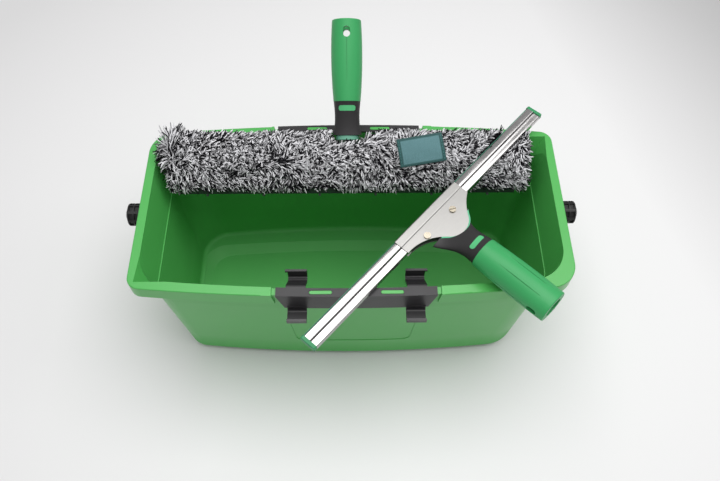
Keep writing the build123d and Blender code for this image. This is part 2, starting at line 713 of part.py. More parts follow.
with BuildPart() as washer_t_bar:
    add(t_bar_section(0))
    extrude(amount=t_bar_length / 2, dir=washer.x_dir, both=True)
    with BuildSketch(across(washer, 0)):
        RectangleRounded(hub_width, hub_depth, hub_corner)
    extrude(amount=hub_top)
    with BuildSketch(washer):
        with Locations(*nub_places):
            Rectangle(nub_size, 2 * nub_size)
    extrude(amount=t_bar_edge_thickness / 2, both=True)
    with BuildSketch(across(washer, hub_top)):
        Rectangle(tenon_width + 2 * fit_gap, tenon_depth + 2 * fit_gap)
    extrude(amount=-(tenon_length - collar_height + fit_gap), mode=Mode.SUBTRACT)
    screw_along = hub_top - (tenon_length - collar_height) / 2
    with Locations(washer * Location((0, screw_along, 0))):
        Cylinder(screw_diameter / 2 + fit_gap / 2, hub_depth, mode=Mode.SUBTRACT)
    with Locations(washer * Location((0, screw_along, hub_depth / 2))):
        Cylinder(screw_head_diameter / 2 + fit_gap, 2 * screw_head_height + 2 * fit_gap, mode=Mode.SUBTRACT)
save(washer_t_bar, "washer_t_bar")

with BuildPart() as washer_collar:
    with BuildSketch(across(washer, hub_top)):
        Ellipse(collar_width / 2, collar_depth / 2)
        Rectangle(tenon_width + 2 * fit_gap, tenon_depth + 2 * fit_gap, mode=Mode.SUBTRACT)
    extrude(amount=collar_height - fit_gap)
    fillet(washer_collar.faces().sort_by(lambda f: (f.center() - washer.origin).dot(washer.y_dir))[-1]
           .outer_wire().edges(), radius=collar_round)
save(washer_collar, "washer_collar")

with BuildPart() as washer_neck:
    add(neck_loft(washer_grip_frame, washer_neck_sections, 0).part)
    with BuildSketch(across(washer_grip_frame, 0)):
        Circle(spigot_radius)
    extrude(amount=spigot_length)
    with BuildSketch(across(washer_grip_frame, -neck_length)):
        Rectangle(tenon_width, tenon_depth)
    extrude(amount=-tenon_length)
    add(neck_inlay(washer_grip_frame, washer_neck_sections, washer_inlay_along, fit_gap / 2).part,
        mode=Mode.SUBTRACT)
    with Locations(washer * Location((0, screw_along, 0))):
        Cylinder(screw_diameter / 2 + fit_gap / 2, hub_depth, mode=Mode.SUBTRACT)
save(washer_neck, "washer_neck")

save(pole_grip(washer_grip_frame), "washer_grip")
save(neck_inlay(washer_grip_frame, washer_neck_sections, washer_inlay_along, 0), "washer_inlay")

with BuildPart() as washer_screw:
    with BuildSketch(washer.offset(hub_depth / 2 - screw_head_height)):
        with Locations((0, screw_along)):
            Circle(screw_head_diameter / 2)
    extrude(amount=screw_head_height)
    with BuildSketch(washer.offset(hub_depth / 2)):
        with Locations((0, screw_along)):
            Rectangle(screw_head_diameter, screw_slot)
    extrude(amount=-screw_head_height / 2, mode=Mode.SUBTRACT)
    with BuildSketch(washer.offset(hub_depth / 2 - screw_head_height)):
        with Locations((0, screw_along)):
            Circle(screw_diameter / 2)
    extrude(amount=-(hub_depth - screw_head_height - screw_tail))
save(washer_screw, "washer_screw")

# ---------------------------------------------------------------- squeegee frame, as it lies
heading, pitch = radians(squeegee_heading), radians(squeegee_pitch)
far_way = Vector(cos(heading) * cos(pitch), sin(heading) * cos(pitch), sin(pitch))
handle_way = Vector(sin(heading), -cos(heading), 0)
half_channel = channel_height / 2
bracket_edge_y = -(rim_width / 2 + rim_bow)
rest_run = (squeegee_y - bracket_edge_y + channel_width / 2 * sin(heading)) / far_way.Y
squeegee_z = bucket_height + seat_gap + half_channel / cos(pitch) + rest_run * far_way.Z
# x runs down the channel to its near left end, y out along the handle, z up
squeegee = Plane(origin=(squeegee_x, squeegee_y, squeegee_z), x_dir=-far_way, z_dir=handle_way.cross(far_way))
handle_frame = Plane(
    origin=squeegee.from_local_coords((handle_shift, squeegee_neck_end, handle_rise)), x_dir=squeegee.z_dir,
    z_dir=-squeegee.x_dir * cos(radians(handle_swing)) + squeegee.y_dir * sin(radians(handle_swing)))


def inner_hook_space(side):
    """Room for an inner hook of the rear bracket and for lifting straight off it."""
    lip_y = -(bar_inner + inner_hook_reach)
    half, low = bracket_sheet / 2 + sleeve_gap, bucket_height - inner_hook_drop
    start = Plane.YZ.offset(side * hook_offset - bracket_shift - hook_width / 2 - hook_spur - sleeve_gap)
    with BuildPart() as room:
        with BuildSketch(start):
            with BuildLine():
                Polyline((lip_y - half, 0), (lip_y - half, low + inner_hook_lip + sleeve_gap),
                         (lip_y + half, low + inner_hook_lip + sleeve_gap), (lip_y + half, low + half),
                         (lip_y + hook_foot, low + half), (-bar_inner, bucket_height + half), (-bar_inner, 0),
                         close=True)
            make_face()
        extrude(amount=hook_width + 2 * hook_spur + 2 * sleeve_gap)
    return room


with BuildPart() as sleeve_room:
    add(tub_plan(step_height, step_length, step_width, wall + sleeve_gap))
    add(tub_plan(bucket_height, rim_inner_length, rim_inner_width, sleeve_gap))
    loft(ruled=True)
    add(tub_plan(bucket_height, rim_inner_length, rim_inner_width, sleeve_gap))
    extrude(amount=sleeve_reach)

with BuildPart() as washer_sleeve:
    with BuildSketch(lengthwise(washer)):
        Ellipse(sleeve_reach, sleeve_half_thickness)
    extrude(amount=sleeve_length / 2, both=True)
    ends = washer_sleeve.edges().filter_by(lambda e: abs(e.center().X - washer_x) > sleeve_length / 2 - 1)
    fillet(ends, radius=sleeve_end_round)
    add(sleeve_room.part, mode=Mode.INTERSECT)
    add(t_bar_section(sleeve_gap))
    extrude(amount=t_bar_length / 2 + sleeve_gap, dir=washer.x_dir, both=True, mode=Mode.SUBTRACT)
    with BuildSketch(washer):
        with Locations(*nub_places):
            Rectangle(nub_size + 2 * sleeve_gap, 2 * nub_size + 2 * sleeve_gap)
    extrude(amount=t_bar_edge_thickness / 2 + sleeve_gap, both=True, mode=Mode.SUBTRACT)
    with BuildSketch(across(washer, -sleeve_gap)):
        Rectangle(hub_width + 2 * sleeve_gap, hub_depth + 2 * sleeve_gap)
    extrude(amount=sleeve_reach, mode=Mode.SUBTRACT)
    with BuildSketch(across(washer, hub_top - sleeve_notch_drop)):
        Rectangle(collar_width + sleeve_notch, 2 * sleeve_half_thickness)
    extrude(amount=sleeve_reach, mode=Mode.SUBTRACT)
    for side in (-1, 1):
        add(inner_hook_space(side).part, mode=Mode.SUBTRACT)
    with BuildSketch(squeegee.offset(-half_channel - sleeve_gap)):
        with Locations((0, -rubber_reach / 2)):
            Rectangle(2 * channel_length, channel_width + rubber_reach + 2 * sleeve_gap)
    extrude(amount=3 * sleeve_half_thickness, mode=Mode.SUBTRACT)
save(washer_sleeve, "washer_sleeve")

with BuildPart() as washer_label:
    with BuildSketch(lengthwise(washer, label_x - label_length)):
        Ellipse(sleeve_reach + sleeve_gap + label_sheet, sleeve_half_thickness + sleeve_gap + label_sheet)
        Ellipse(sleeve_reach + sleeve_gap, sleeve_half_thickness + sleeve_gap, mode=Mode.SUBTRACT)
    extrude(amount=2 * label_length)
    with BuildSketch(washer.offset(label_cut)):
        with Locations(Location((label_x, label_s, 0), label_turn)):
            Rectangle(label_length, label_width)
    extrude(amount=2 * sleeve_half_thickness, mode=Mode.INTERSECT)
save(washer_label, "washer_label")

# ---------------------------------------------------------------- squeegee channel, rubber and clips
channel_side = lengthwise(squeegee)


def channel_line(half_width, half_height, step):
    """Open outline of the channel, from its upper lip round to its lower one, in the y-z plane."""
    lip = rubber_sheet / 2 + channel_sheet / 2 + fit_gap
    return [(-half_width, lip), (-half_width, half_height), (channel_step_line[0], half_height),
            (channel_step_line[1], half_height - step), (half_width, half_height - step),
            (half_width, -half_height), (-half_width, -half_height), (-half_width, -lip)]


with BuildPart() as squeegee_channel:
    with BuildSketch(channel_side):
        with BuildLine() as rolled:
            middle = channel_sheet / 2
            FilletPolyline(*channel_line(channel_width / 2 - middle, half_channel - middle, channel_step),
                           radius=channel_bend)
        trace(rolled.line, line_width=channel_sheet)
    extrude(amount=channel_length / 2, both=True)
save(squeegee_channel, "squeegee_channel")

bead_y = -channel_width / 2 + channel_sheet + rubber_bead / 2 + bead_gap
with BuildPart() as squeegee_rubber:
    with BuildSketch(channel_side):
        with Locations((bead_y, 0)):
            Circle(rubber_bead / 2)
        with Locations(((bead_y - channel_width / 2 - rubber_reach) / 2, 0)):
            Rectangle(bead_y + channel_width / 2 + rubber_reach, rubber_sheet)
    extrude(amount=channel_length / 2, both=True)
save(squeegee_rubber, "squeegee_rubber")

for side, name in ((1, "end_clip_left"), (-1, "end_clip_right")):
    face = lengthwise(squeegee, side * channel_length / 2)
    with BuildPart() as end_clip:
        with BuildSketch(face):
            with Locations((-rubber_reach / 2, 0)):
                RectangleRounded(channel_width + rubber_reach, channel_height, clip_corner)
        extrude(amount=side * clip_length)
        with BuildSketch(face):
            with Locations((bead_y + rubber_bead / 2 + bead_gap + clip_plug_width / 2, -channel_step / 2)):
                Rectangle(clip_plug_width, channel_height - 2 * channel_sheet - channel_step - 2 * fit_gap)
        extrude(amount=-side * clip_plug)
        along = squeegee.x_dir
        outer = end_clip.faces().sort_by(lambda f: side * (f.center() - squeegee.origin).dot(along))[-1]
        fillet(outer.edges(), radius=clip_round)
    save(end_clip, name)

# ---------------------------------------------------------------- squeegee clamp and handle
plate_top = half_channel + clamp_gap + clamp_sheet
plate_flat = plate_top - channel_step
plate_low = -half_channel - clamp_gap


def nose(plane, grow, back):
    """Outline of the clamp's nose, grown by grow and reaching back to a line across the channel."""
    half, run = nose_half_width, clamp_nose - nose_rise
    bulge = (half ** 2 + nose_rise ** 2) / (2 * nose_rise)
    with BuildSketch(plane) as outline:
        with BuildLine():
            ThreePointArc((-half - nose_shift, run), (-nose_shift, clamp_nose), (half - nose_shift, run))
            TangentArc((half - nose_shift, run), (clamp_length / 2, clamp_shoulder),
                       tangent=(bulge - nose_rise, -half))
            TangentArc((-half - nose_shift, run), (-clamp_length / 2, clamp_shoulder),
                       tangent=(nose_rise - bulge, -half))
            Polyline((clamp_length / 2, clamp_shoulder), (clamp_length / 2, clamp_shoulder - clamp_lap),
                     (-clamp_length / 2, clamp_shoulder - clamp_lap), (-clamp_length / 2, clamp_shoulder))
        make_face()
        if grow:
            offset(amount=grow)
        with Locations((0, back)):
            Rectangle(2 * clamp_length, 4 * clamp_nose, align=(Align.CENTER, Align.MIN), mode=Mode.INTERSECT)
    return outline.sketch


def screw_holes(plane):
    """Through holes for the two clamp screws."""
    with BuildPart() as holes:
        with Locations(*[plane * Location((side * screw_offset, screw_line, 0)) for side in (-1, 1)]):
            Cylinder(screw_diameter / 2 + fit_gap / 2, 4 * channel_height)
    return holes.part


with BuildPart() as clamp_top:
    with BuildSketch(channel_side):
        with BuildLine() as wrap:
            half_sheet = clamp_sheet / 2
            front = -(channel_width / 2 + clamp_gap + half_sheet)
            FilletPolyline((front, rubber_sheet / 2 + clamp_lip), (front, plate_top - half_sheet),
                           (clamp_step_line[0], plate_top - half_sheet),
                           (clamp_step_line[1], plate_flat - half_sheet),
                           (clamp_shoulder, plate_flat - half_sheet), radius=clamp_bend)
        trace(wrap.line, line_width=clamp_sheet)
    extrude(amount=clamp_length / 2, both=True)
    add(nose(squeegee.offset(plate_flat - clamp_sheet), 0, clamp_shoulder - clamp_lap))
    extrude(amount=clamp_sheet, dir=squeegee.z_dir)
    add(screw_holes(squeegee), mode=Mode.SUBTRACT)
save(clamp_top, "clamp_top")

with BuildPart() as clamp_bottom:
    add(nose(squeegee.offset(plate_low - clamp_sheet), 0, clamp_shoulder - clamp_lap))
    with BuildSketch(squeegee.offset(plate_low - clamp_sheet)):
        with Locations((0, (clamp_shoulder - channel_width / 2) / 2)):
            Rectangle(clamp_length, clamp_shoulder + channel_width / 2)
    extrude(amount=clamp_sheet, dir=squeegee.z_dir)
    add(screw_holes(squeegee), mode=Mode.SUBTRACT)
save(clamp_bottom, "clamp_bottom")

core_low = plate_low + fit_gap / 2
core_high = plate_flat - clamp_sheet - fit_gap / 2
trim_low = plate_flat - trim_height
squeegee_neck_sections = [*squeegee_neck_shape,
                          (squeegee_neck_end + squeegee_neck_lap, grip_depth[0] / 2 - neck_step,
                           grip_side[0] / 2 - neck_step, handle_rise, handle_shift)]


def nose_prism(grow, low, high, back):
    """Prism of the clamp's nose between two heights, grown by grow."""
    with BuildPart() as prism:
        add(nose(squeegee.offset(low), grow, back))
        extrude(amount=high - low, dir=squeegee.z_dir)
    return prism.part


with BuildPart() as squeegee_neck:
    add(neck_loft(squeegee, squeegee_neck_sections, 0).part)
    add(nose_prism(trim_width + fit_gap, trim_low - fit_gap, 6 * channel_height, clamp_shoulder),
        mode=Mode.SUBTRACT)
    add(nose_prism(fit_gap, -2 * channel_height, core_low, clamp_shoulder - clamp_lap), mode=Mode.SUBTRACT)
    add(nose_prism(-core_inset, core_low, core_high, channel_width / 2 + core_inset))
    add(nose_prism(trim_ledge, core_low, trim_low - fit_gap, trim_back - trim_width))
    with BuildSketch(across(handle_frame, 0)):
        Rectangle(2 * grip_depth[0], 2 * grip_depth[0])
    extrude(amount=grip_length, mode=Mode.SUBTRACT)
    with BuildSketch(across(handle_frame, 0)):
        Circle(spigot_radius)
    extrude(amount=spigot_length)
    add(screw_holes(squeegee), mode=Mode.SUBTRACT)
    add(neck_inlay(squeegee, squeegee_neck_sections, squeegee_inlay_along, fit_gap / 2).part,
        mode=Mode.SUBTRACT)
save(squeegee_neck, "squeegee_neck")

with BuildPart() as squeegee_trim:
    add(nose_prism(trim_width + fit_gap / 2, trim_low, plate_flat, trim_back))
    add(nose_prism(fit_gap / 2, trim_low, plate_flat, clamp_shoulder), mode=Mode.SUBTRACT)
save(squeegee_trim, "squeegee_trim")

save(pole_grip(handle_frame), "squeegee_grip")
save(neck_inlay(squeegee, squeegee_neck_sections, squeegee_inlay_along, 0), "squeegee_inlay")


def slotted_screw(seat, under_head):
    """Cheese-head screw on a seat plane, reaching under_head below it."""
    with BuildPart() as screw:
        with BuildSketch(seat):
            Circle(screw_head_diameter / 2)
        extrude(amount=screw_head_height)
        with BuildSketch(seat.offset(screw_head_height)):
            Rectangle(2 * screw_head_diameter, screw_slot)
        extrude(amount=-screw_head_height / 2, mode=Mode.SUBTRACT)
        with BuildSketch(seat):
            Circle(screw_diameter / 2)
        extrude(amount=-under_head)
    return screw.part


nut_top = plate_low - clamp_sheet
with BuildPart() as clamp_screws:
    for side in (-1, 1):
        seat = squeegee * Location((side * screw_offset, screw_line, plate_flat), side * screw_turn)
        add(slotted_screw(Plane(seat), plate_flat - nut_top + nut_height + screw_end))
save(clamp_screws, "clamp_screws")

with BuildPart() as clamp_nuts:
    with BuildSketch(squeegee.offset(nut_top)):
        with Locations((-screw_offset, screw_line), (screw_offset, screw_line)):
            RegularPolygon(nut_width / 2, 6, major_radius=False)
            Circle(screw_diameter / 2 + fit_gap / 2, mode=Mode.SUBTRACT)
    extrude(amount=-nut_height)
save(clamp_nuts, "clamp_nuts")
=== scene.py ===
"""Looks of a window-cleaning bucket set: bucket, rim brackets, bail, strip washer and squeegee.

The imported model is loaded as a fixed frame, and its hard parts get their finishes here. The
washer's pile sleeve and its sewn-on label are modelled here and stand for the plain solids.
"""
import json
import logging
import math
import random
from dataclasses import dataclass, field
from enum import Enum

import bpy
import numpy as np
from mathutils import Matrix, Vector, noise
from mathutils.bvhtree import BVHTree


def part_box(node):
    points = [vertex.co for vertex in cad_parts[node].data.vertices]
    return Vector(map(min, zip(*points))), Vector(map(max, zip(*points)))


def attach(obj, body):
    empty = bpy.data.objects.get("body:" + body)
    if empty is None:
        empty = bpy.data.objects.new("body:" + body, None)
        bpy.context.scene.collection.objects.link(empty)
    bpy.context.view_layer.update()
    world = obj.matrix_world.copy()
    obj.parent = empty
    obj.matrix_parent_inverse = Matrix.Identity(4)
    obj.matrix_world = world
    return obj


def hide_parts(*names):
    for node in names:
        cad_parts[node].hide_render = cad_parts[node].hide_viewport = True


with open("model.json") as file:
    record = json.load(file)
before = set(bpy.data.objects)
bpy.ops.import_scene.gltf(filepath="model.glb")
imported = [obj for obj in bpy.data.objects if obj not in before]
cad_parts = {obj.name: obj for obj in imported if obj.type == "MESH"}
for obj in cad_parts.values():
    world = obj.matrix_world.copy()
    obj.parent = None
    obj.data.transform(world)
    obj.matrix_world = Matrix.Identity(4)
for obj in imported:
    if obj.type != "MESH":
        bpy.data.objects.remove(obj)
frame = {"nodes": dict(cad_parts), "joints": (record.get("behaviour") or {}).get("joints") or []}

LOG = logging.getLogger("bucket_set")
MM = 0.001
MICRON = 0.000001

Socket = bpy.types.NodeSocket
Triple = tuple[float, float, float]
Pair = tuple[float, float]

WIDE = (0.3, 0.7)                           # where nearly all of a noise's values lie
NARROW = (0.35, 0.65)                       # where most of them lie
SPAN_SOCKETS = ("From Min", "From Max", "To Min", "To Max")


def heading_of(joint_name: str) -> float:
    """Heading of a slide's axis from above, in degrees from the x axis."""
    axis = next(joint["axis"] for joint in frame["joints"] if joint["name"] == joint_name)
    return math.degrees(math.atan2(axis[1], axis[0]))


def middle_of(node: str) -> Pair:
    """Middle of a node's box from above."""
    low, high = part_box(node)
    return (low[0] + high[0]) / 2, (low[1] + high[1]) / 2


# -------- material graphs
class Graph:
    """A material's node tree, built socket by socket."""

    def __init__(self, name: str) -> None:
        """Starts a material with a single Principled shader.

        Args:
            name: Name of the material.
        """
        self.material = bpy.data.materials.new(name)
        self.material.use_nodes = True
        self.tree = self.material.node_tree
        self.tree.nodes.clear()
        output = self.tree.nodes.new("ShaderNodeOutputMaterial")
        self.shader = self.tree.nodes.new("ShaderNodeBsdfPrincipled")
        self.link(self.shader.outputs[0], output.inputs["Surface"])

    def link(self, source: Socket, target: Socket) -> None:
        """Joins two sockets."""
        self.tree.links.new(source, target)

    def set(self, **values: float) -> None:
        """Sets sockets of the Principled shader, named with underscores for spaces."""
        for key, value in values.items():
            self.shader.inputs[key.replace("_", " ")].default_value = value

    def feed(self, source: Socket, name: str) -> None:
        """Links a socket into a named socket of the Principled shader."""
        self.link(source, self.shader.inputs[name])

    def place(self, scale: Triple = (1, 1, 1), heading: float = 0.0, uv: bool = False) -> Socket:
        """Object or UV coordinates, turned about z and then scaled.

        Args:
            scale: Repeats per metre, or per unit of the UV map.
            heading: Angle of the turn, in degrees.
            uv: True for the piece's own UV map.

        Returns:
            The vector socket.
        """
        source = self.tree.nodes.new("ShaderNodeTexCoord").outputs["UV" if uv else "Object"]
        if heading:
            turned = self.tree.nodes.new("ShaderNodeMapping")
            turned.inputs["Rotation"].default_value = (0, 0, math.radians(heading))
            self.link(source, turned.inputs["Vector"])
            source = turned.outputs[0]
        sized = self.tree.nodes.new("ShaderNodeMapping")
        sized.inputs["Scale"].default_value = scale
        self.link(source, sized.inputs["Vector"])
        return sized.outputs[0]

    def split(self, vector: Socket) -> tuple[Socket, Socket, Socket]:
        """The x, y and z of a vector."""
        node = self.tree.nodes.new("ShaderNodeSeparateXYZ")
        self.link(vector, node.inputs[0])
        return node.outputs["X"], node.outputs["Y"], node.outputs["Z"]

    def attribute(self, name: str) -> Socket:
        """A value that the piece's own mesh holds."""
        node = self.tree.nodes.new("ShaderNodeAttribute")
        node.attribute_name = name
        return node.outputs["Fac"]

    def noise(self, vector: Socket, scale: float = 1.0, detail: float = 3.0,
              roughness: float = 0.5) -> Socket:
        """Noise value at a vector."""
        node = self.tree.nodes.new("ShaderNodeTexNoise")
        self.link(vector, node.inputs["Vector"])
        node.inputs["Scale"].default_value = scale
        node.inputs["Detail"].default_value = detail
        node.inputs["Roughness"].default_value = roughness
        return node.outputs["Fac"]

    def wave(self, vector: Socket, scale: float, across: str = "X") -> Socket:
        """Sine bands across one axis of a vector."""
        node = self.tree.nodes.new("ShaderNodeTexWave")
        node.bands_direction = across
        self.link(vector, node.inputs["Vector"])
        node.inputs["Scale"].default_value = scale
        return node.outputs["Fac"]

    def span(self, value: Socket, to: Pair, given: Pair = (0.0, 1.0)) -> Socket:
        """Maps a value from one span onto another, and holds it at the ends.

        Args:
            value: The value.
            to: What the two ends of its span become.
            given: The two ends of its span.

        Returns:
            The mapped value.
        """
        node = self.tree.nodes.new("ShaderNodeMapRange")
        self.link(value, node.inputs["Value"])
        for key, number in zip(SPAN_SOCKETS, (*given, *to)):
            node.inputs[key].default_value = number
        return node.outputs[0]

    def arithmetic(self, how: str, first: Socket, second: Socket | float) -> Socket:
        """Arithmetic on two values, by Blender's name of the operation."""
        node = self.tree.nodes.new("ShaderNodeMath")
        node.operation = how
        self.link(first, node.inputs[0])
        if isinstance(second, float):
            node.inputs[1].default_value = second
        else:
            self.link(second, node.inputs[1])
        return node.outputs[0]

    def add(self, first: Socket, second: Socket | float) -> Socket:
        """Sum of two values."""
        return self.arithmetic("ADD", first, second)

    def times(self, first: Socket, second: Socket | float) -> Socket:
        """Product of two values."""
        return self.arithmetic("MULTIPLY", first, second)

    def blend(self, share: Socket, first: Triple | Socket, second: Triple | Socket) -> Socket:
        """Mixes two colours.

        Args:
            share: Share of the second colour.
            first: RGB values or a colour socket.
            second: RGB values or a colour socket.

        Returns:
            The mixed colour.
        """
        node = self.tree.nodes.new("ShaderNodeMix")
        node.data_type = "RGBA"
        self.link(share, node.inputs["Factor"])
        for name, colour in (("A", first), ("B", second)):
            socket = next(s for s in node.inputs if s.name == name and s.type == "RGBA")
            if isinstance(colour, tuple):
                socket.default_value = (*colour, 1)
            else:
                self.link(colour, socket)
        return next(s for s in node.outputs if s.type == "RGBA")

    def curve(self, value: Socket, points: tuple[Pair, ...]) -> Socket:
        """Smooth curve through points, read at a value."""
        node = self.tree.nodes.new("ShaderNodeFloatCurve")
        line = node.mapping.curves[0]
        for at in points[1:-1]:
            line.points.new(*at)
        line.points[0].location, line.points[-1].location = points[0], points[-1]
        node.mapping.update()
        self.link(value, node.inputs["Value"])
        return node.outputs[0]

    def bump(self, height: Socket, depth: float) -> None:
        """Feeds a height into the shader's normal.

        Args:
            height: Height, 1 at its tallest.
            depth: What a height of 1 stands for, in metres.
        """
        node = self.tree.nodes.new("ShaderNodeBump")
        node.inputs["Distance"].default_value = depth
        node.inputs["Strength"].default_value = 1.0
        self.link(height, node.inputs["Height"])
        self.feed(node.outputs[0], "Normal")


def darker(colour: Triple, share: float) -> Triple:
    """A share of a colour's brightness."""
    return tuple(share * channel for channel in colour)


# -------- finishes
@dataclass(frozen=True)
class Moulded:
    """Injection-moulded plastic with faint flow marks, smudges and a fine moulded texture."""

    name: str
    colour: Triple
    deep: Triple                            # where the flow marks are strongest
    roughness: float = 0.35
    spread: float = 0.06                    # how far smudges change the roughness
    grain: float = 900.0                    # moulded texture, repeats per metre
    grain_depth: float = 30 * MICRON
    flow: float = 9.0                       # flow marks, repeats per metre
    smudges: float = 3.1                    # smudges to one flow mark
    specular: float = 0.5
    scuffed_below: float = 0.0              # height under which the surface is worn
    scuffed_wholly: float = 0.3             # share of that height at which it is wholly worn
    scuffed: float = 0.6                    # roughness of the worn surface

    def material(self) -> bpy.types.Material:
        """Builds the finish."""
        g = Graph(self.name)
        here = g.place()
        flow = g.noise(here, self.flow, 4.0, 0.55)
        g.feed(g.blend(g.span(flow, (0.0, 1.0), WIDE), self.deep, self.colour), "Base Color")
        smudge = g.noise(here, self.flow * self.smudges, 5.0, 0.6)
        rough = g.span(smudge, (self.roughness - self.spread, self.roughness + self.spread), WIDE)
        if self.scuffed_below:
            height = g.split(here)[2]
            worn = (self.scuffed_wholly * self.scuffed_below, self.scuffed_below)
            rough = g.add(rough, g.span(height, (self.scuffed - self.roughness, 0.0), worn))
        g.feed(rough, "Roughness")
        g.set(Specular_IOR_Level=self.specular)
        g.bump(g.noise(here, self.grain, 2.0, 0.5), self.grain_depth)
        return g.material


@dataclass(frozen=True)
class Rolled:
    """Rounded section of a rolled strip, from its rear edge to its front edge."""

    heights: tuple[Pair, ...]               # place across the strip and height there, 0 to 1
    depth: float
    width: float
    middle: Pair
    heading: float                          # of the strip, degrees

    def height(self, g: Graph) -> Socket:
        """Height of the section at each place of the strip.

        Args:
            g: Graph of the strip's finish.

        Returns:
            The height, 0 to 1.
        """
        turn, half = math.radians(-self.heading), self.width / 2
        x, y, _ = g.split(g.place())
        x = g.times(g.add(x, -self.middle[0]), math.sin(turn))
        y = g.times(g.add(y, -self.middle[1]), math.cos(turn))
        return g.curve(g.span(g.add(x, y), (0.0, 1.0), (half, -half)), self.heights)


@dataclass(frozen=True)
class Brushed:
    """Steel with streaks along one direction, faint smears and a few deeper scratches."""

    name: str
    colour: Triple
    heading: float                          # of the streaks, degrees
    roughness: float = 0.25
    spread: float = 0.05                    # how far streaks change the roughness
    streak: float = 2200.0                  # streaks, repeats per metre
    depth: float = 6 * MICRON
    smear: float = 38.0                     # smears, repeats per metre
    drawn_out: Pair = (0.012, 0.05)         # fine and broad streaks, 1 where they are spots
    broad: float = 14.0                     # width of a broad streak, in fine ones
    dull: float = 0.86                      # brightness of the dullest streaks
    smear_roughness: Pair = (-0.03, 0.05)   # what smears add to the roughness
    section: Rolled | None = None

    def material(self) -> bpy.types.Material:
        """Builds the finish."""
        g = Graph(self.name)
        fine, broad = (g.place((out, 1.0, 1.0), -self.heading) for out in self.drawn_out)
        fine = g.noise(fine, self.streak, 3.0, 0.6)
        broad = g.noise(broad, self.streak / self.broad, 2.0, 0.5)
        smear = g.noise(g.place(), self.smear, 4.0, 0.6)
        tone = g.add(g.span(fine, (0.0, 0.6), NARROW), g.span(smear, (0.0, 0.4), NARROW))
        g.feed(g.blend(tone, darker(self.colour, self.dull), self.colour), "Base Color")
        streaked = (self.roughness - self.spread, self.roughness + self.spread)
        smeared = g.span(smear, self.smear_roughness, NARROW)
        g.feed(g.add(g.span(fine, streaked, WIDE), smeared), "Roughness")
        g.set(Metallic=1.0)
        relief, depth = g.add(fine, g.span(broad, (0.0, 0.7))), self.depth
        if self.section:
            depth = self.section.depth
            relief = g.add(g.times(relief, self.depth / depth), self.section.height(g))
        g.bump(relief, depth)
        return g.material


@dataclass(frozen=True)
class Yarn:
    """Twisted yarn whose tone comes from each strand's own attribute, with painted shade where its
    twist and fibres sink.
    """

    name: str
    dark: Triple
    pale: Triple
    twist_painted_shade: Pair = (-0.27, 0.05)       # painted shade from the twist and its fibres, and random tone from fuzz, added to the tone
    fibre_painted_shade: Pair = (-0.24, 0.16)
    fuzz_shade: Pair = (-0.05, 0.05)
    relief: float = 120 * MICRON

    def material(self) -> bpy.types.Material:
        """Builds the finish."""
        g = Graph(self.name)
        twist = g.wave(g.place((3.0, 2.2, 1.0), 28.0, uv=True), 1.0)
        fibre = g.noise(g.place((14.0, 2.5, 1.0), 24.0, uv=True), 1.0, 3.0, 0.7)
        fuzz = g.noise(g.place(), 1500.0, 2.0, 0.6)
        # painted shade: the twist and fibres darken the colour where their relief sinks
        tone = g.add(g.attribute("tone"), g.span(twist, self.twist_painted_shade))
        tone = g.add(tone, g.span(fibre, self.fibre_painted_shade, WIDE))
        tone = g.add(tone, g.span(fuzz, self.fuzz_shade, WIDE))
        g.feed(g.blend(tone, self.dark, self.pale), "Base Color")
        g.set(Roughness=0.9, Specular_IOR_Level=0.12, Sheen_Weight=0.03, Sheen_Roughness=0.5)
        g.bump(g.add(twist, g.span(fibre, (0.0, 0.8))), self.relief)
        return g.material


@dataclass(frozen=True)
class Woven:
    """Woven ribbon cloth: threads both ways with painted shade between them, and a border a little
    darker than the middle.
    """

    name: str
    border: Triple
    middle: Triple
    threads: Pair = (150.0, 95.0)           # warp and weft, to the ribbon's length and width
    gap: float = 0.4                        # painted shade between the threads, of the border's brightness
    relief: float = 150 * MICRON

    def material(self) -> bpy.types.Material:
        """Builds the finish."""
        g = Graph(self.name)
        warp = g.wave(g.place((self.threads[0], 1.0, 1.0), uv=True), 0.32)
        weft = g.wave(g.place((1.0, self.threads[1], 1.0), uv=True), 0.32, "Y")
        cloth = g.times(warp, weft)
        mottle = g.noise(g.place((30.0, 4.0, 1.0), uv=True), 1.0, 3.0, 0.6)
        share = g.add(g.attribute("border"), g.span(mottle, (-0.12, 0.12), WIDE))
        base = g.blend(share, self.middle, self.border)
        # painted shade where the threads sink between each other
        painted_thread_shade = g.span(cloth, (0.55, 1.0))
        g.feed(g.blend(painted_thread_shade, darker(self.border, self.gap), base), "Base Color")
        g.set(Roughness=0.8, Specular_IOR_Level=0.3, Sheen_Weight=0.3)
        g.bump(cloth, self.relief)
        return g.material


@dataclass(frozen=True)
class Seamless:
    """Pale seamless floor with painted shade: it darkens away from its middle, and more so to one
    side.
    """

    name: str
    colour: Triple
    edge: float = 0.86                      # painted shade: brightness far from the middle
    painted_falloff_span: Pair = (0.1, 0.85)           # where the painted shade falls to that, in squared metres
    side: float = 0.6                       # painted shade: brightness at the far right, on top of that
    painted_side_falloff_span: Pair = (0.55, 1.05)          # where the painted shade falls to that, in metres
    painted_side_falloff_lean: float = 0.3                  # share of y in the way to that side

    def material(self) -> bpy.types.Material:
        """Builds the finish."""
        g = Graph(self.name)
        here = g.place()
        cloudy = g.blend(g.noise(here, 1.3, 2.0, 0.5), darker(self.colour, 0.985), self.colour)
        x, y, _ = g.split(here)
        # painted light falloff: the colour darkens away from the middle and towards the right
        edge = g.span(g.add(g.times(x, x), g.times(y, y)), (1.0, self.edge), self.painted_falloff_span)
        side = g.span(g.add(x, g.times(y, self.painted_side_falloff_lean)), (1.0, self.side), self.painted_side_falloff_span)
        g.feed(g.blend(g.times(edge, side), (0, 0, 0), cloudy), "Base Color")
        g.set(Roughness=0.75, Specular_IOR_Level=0.2)
        return g.material


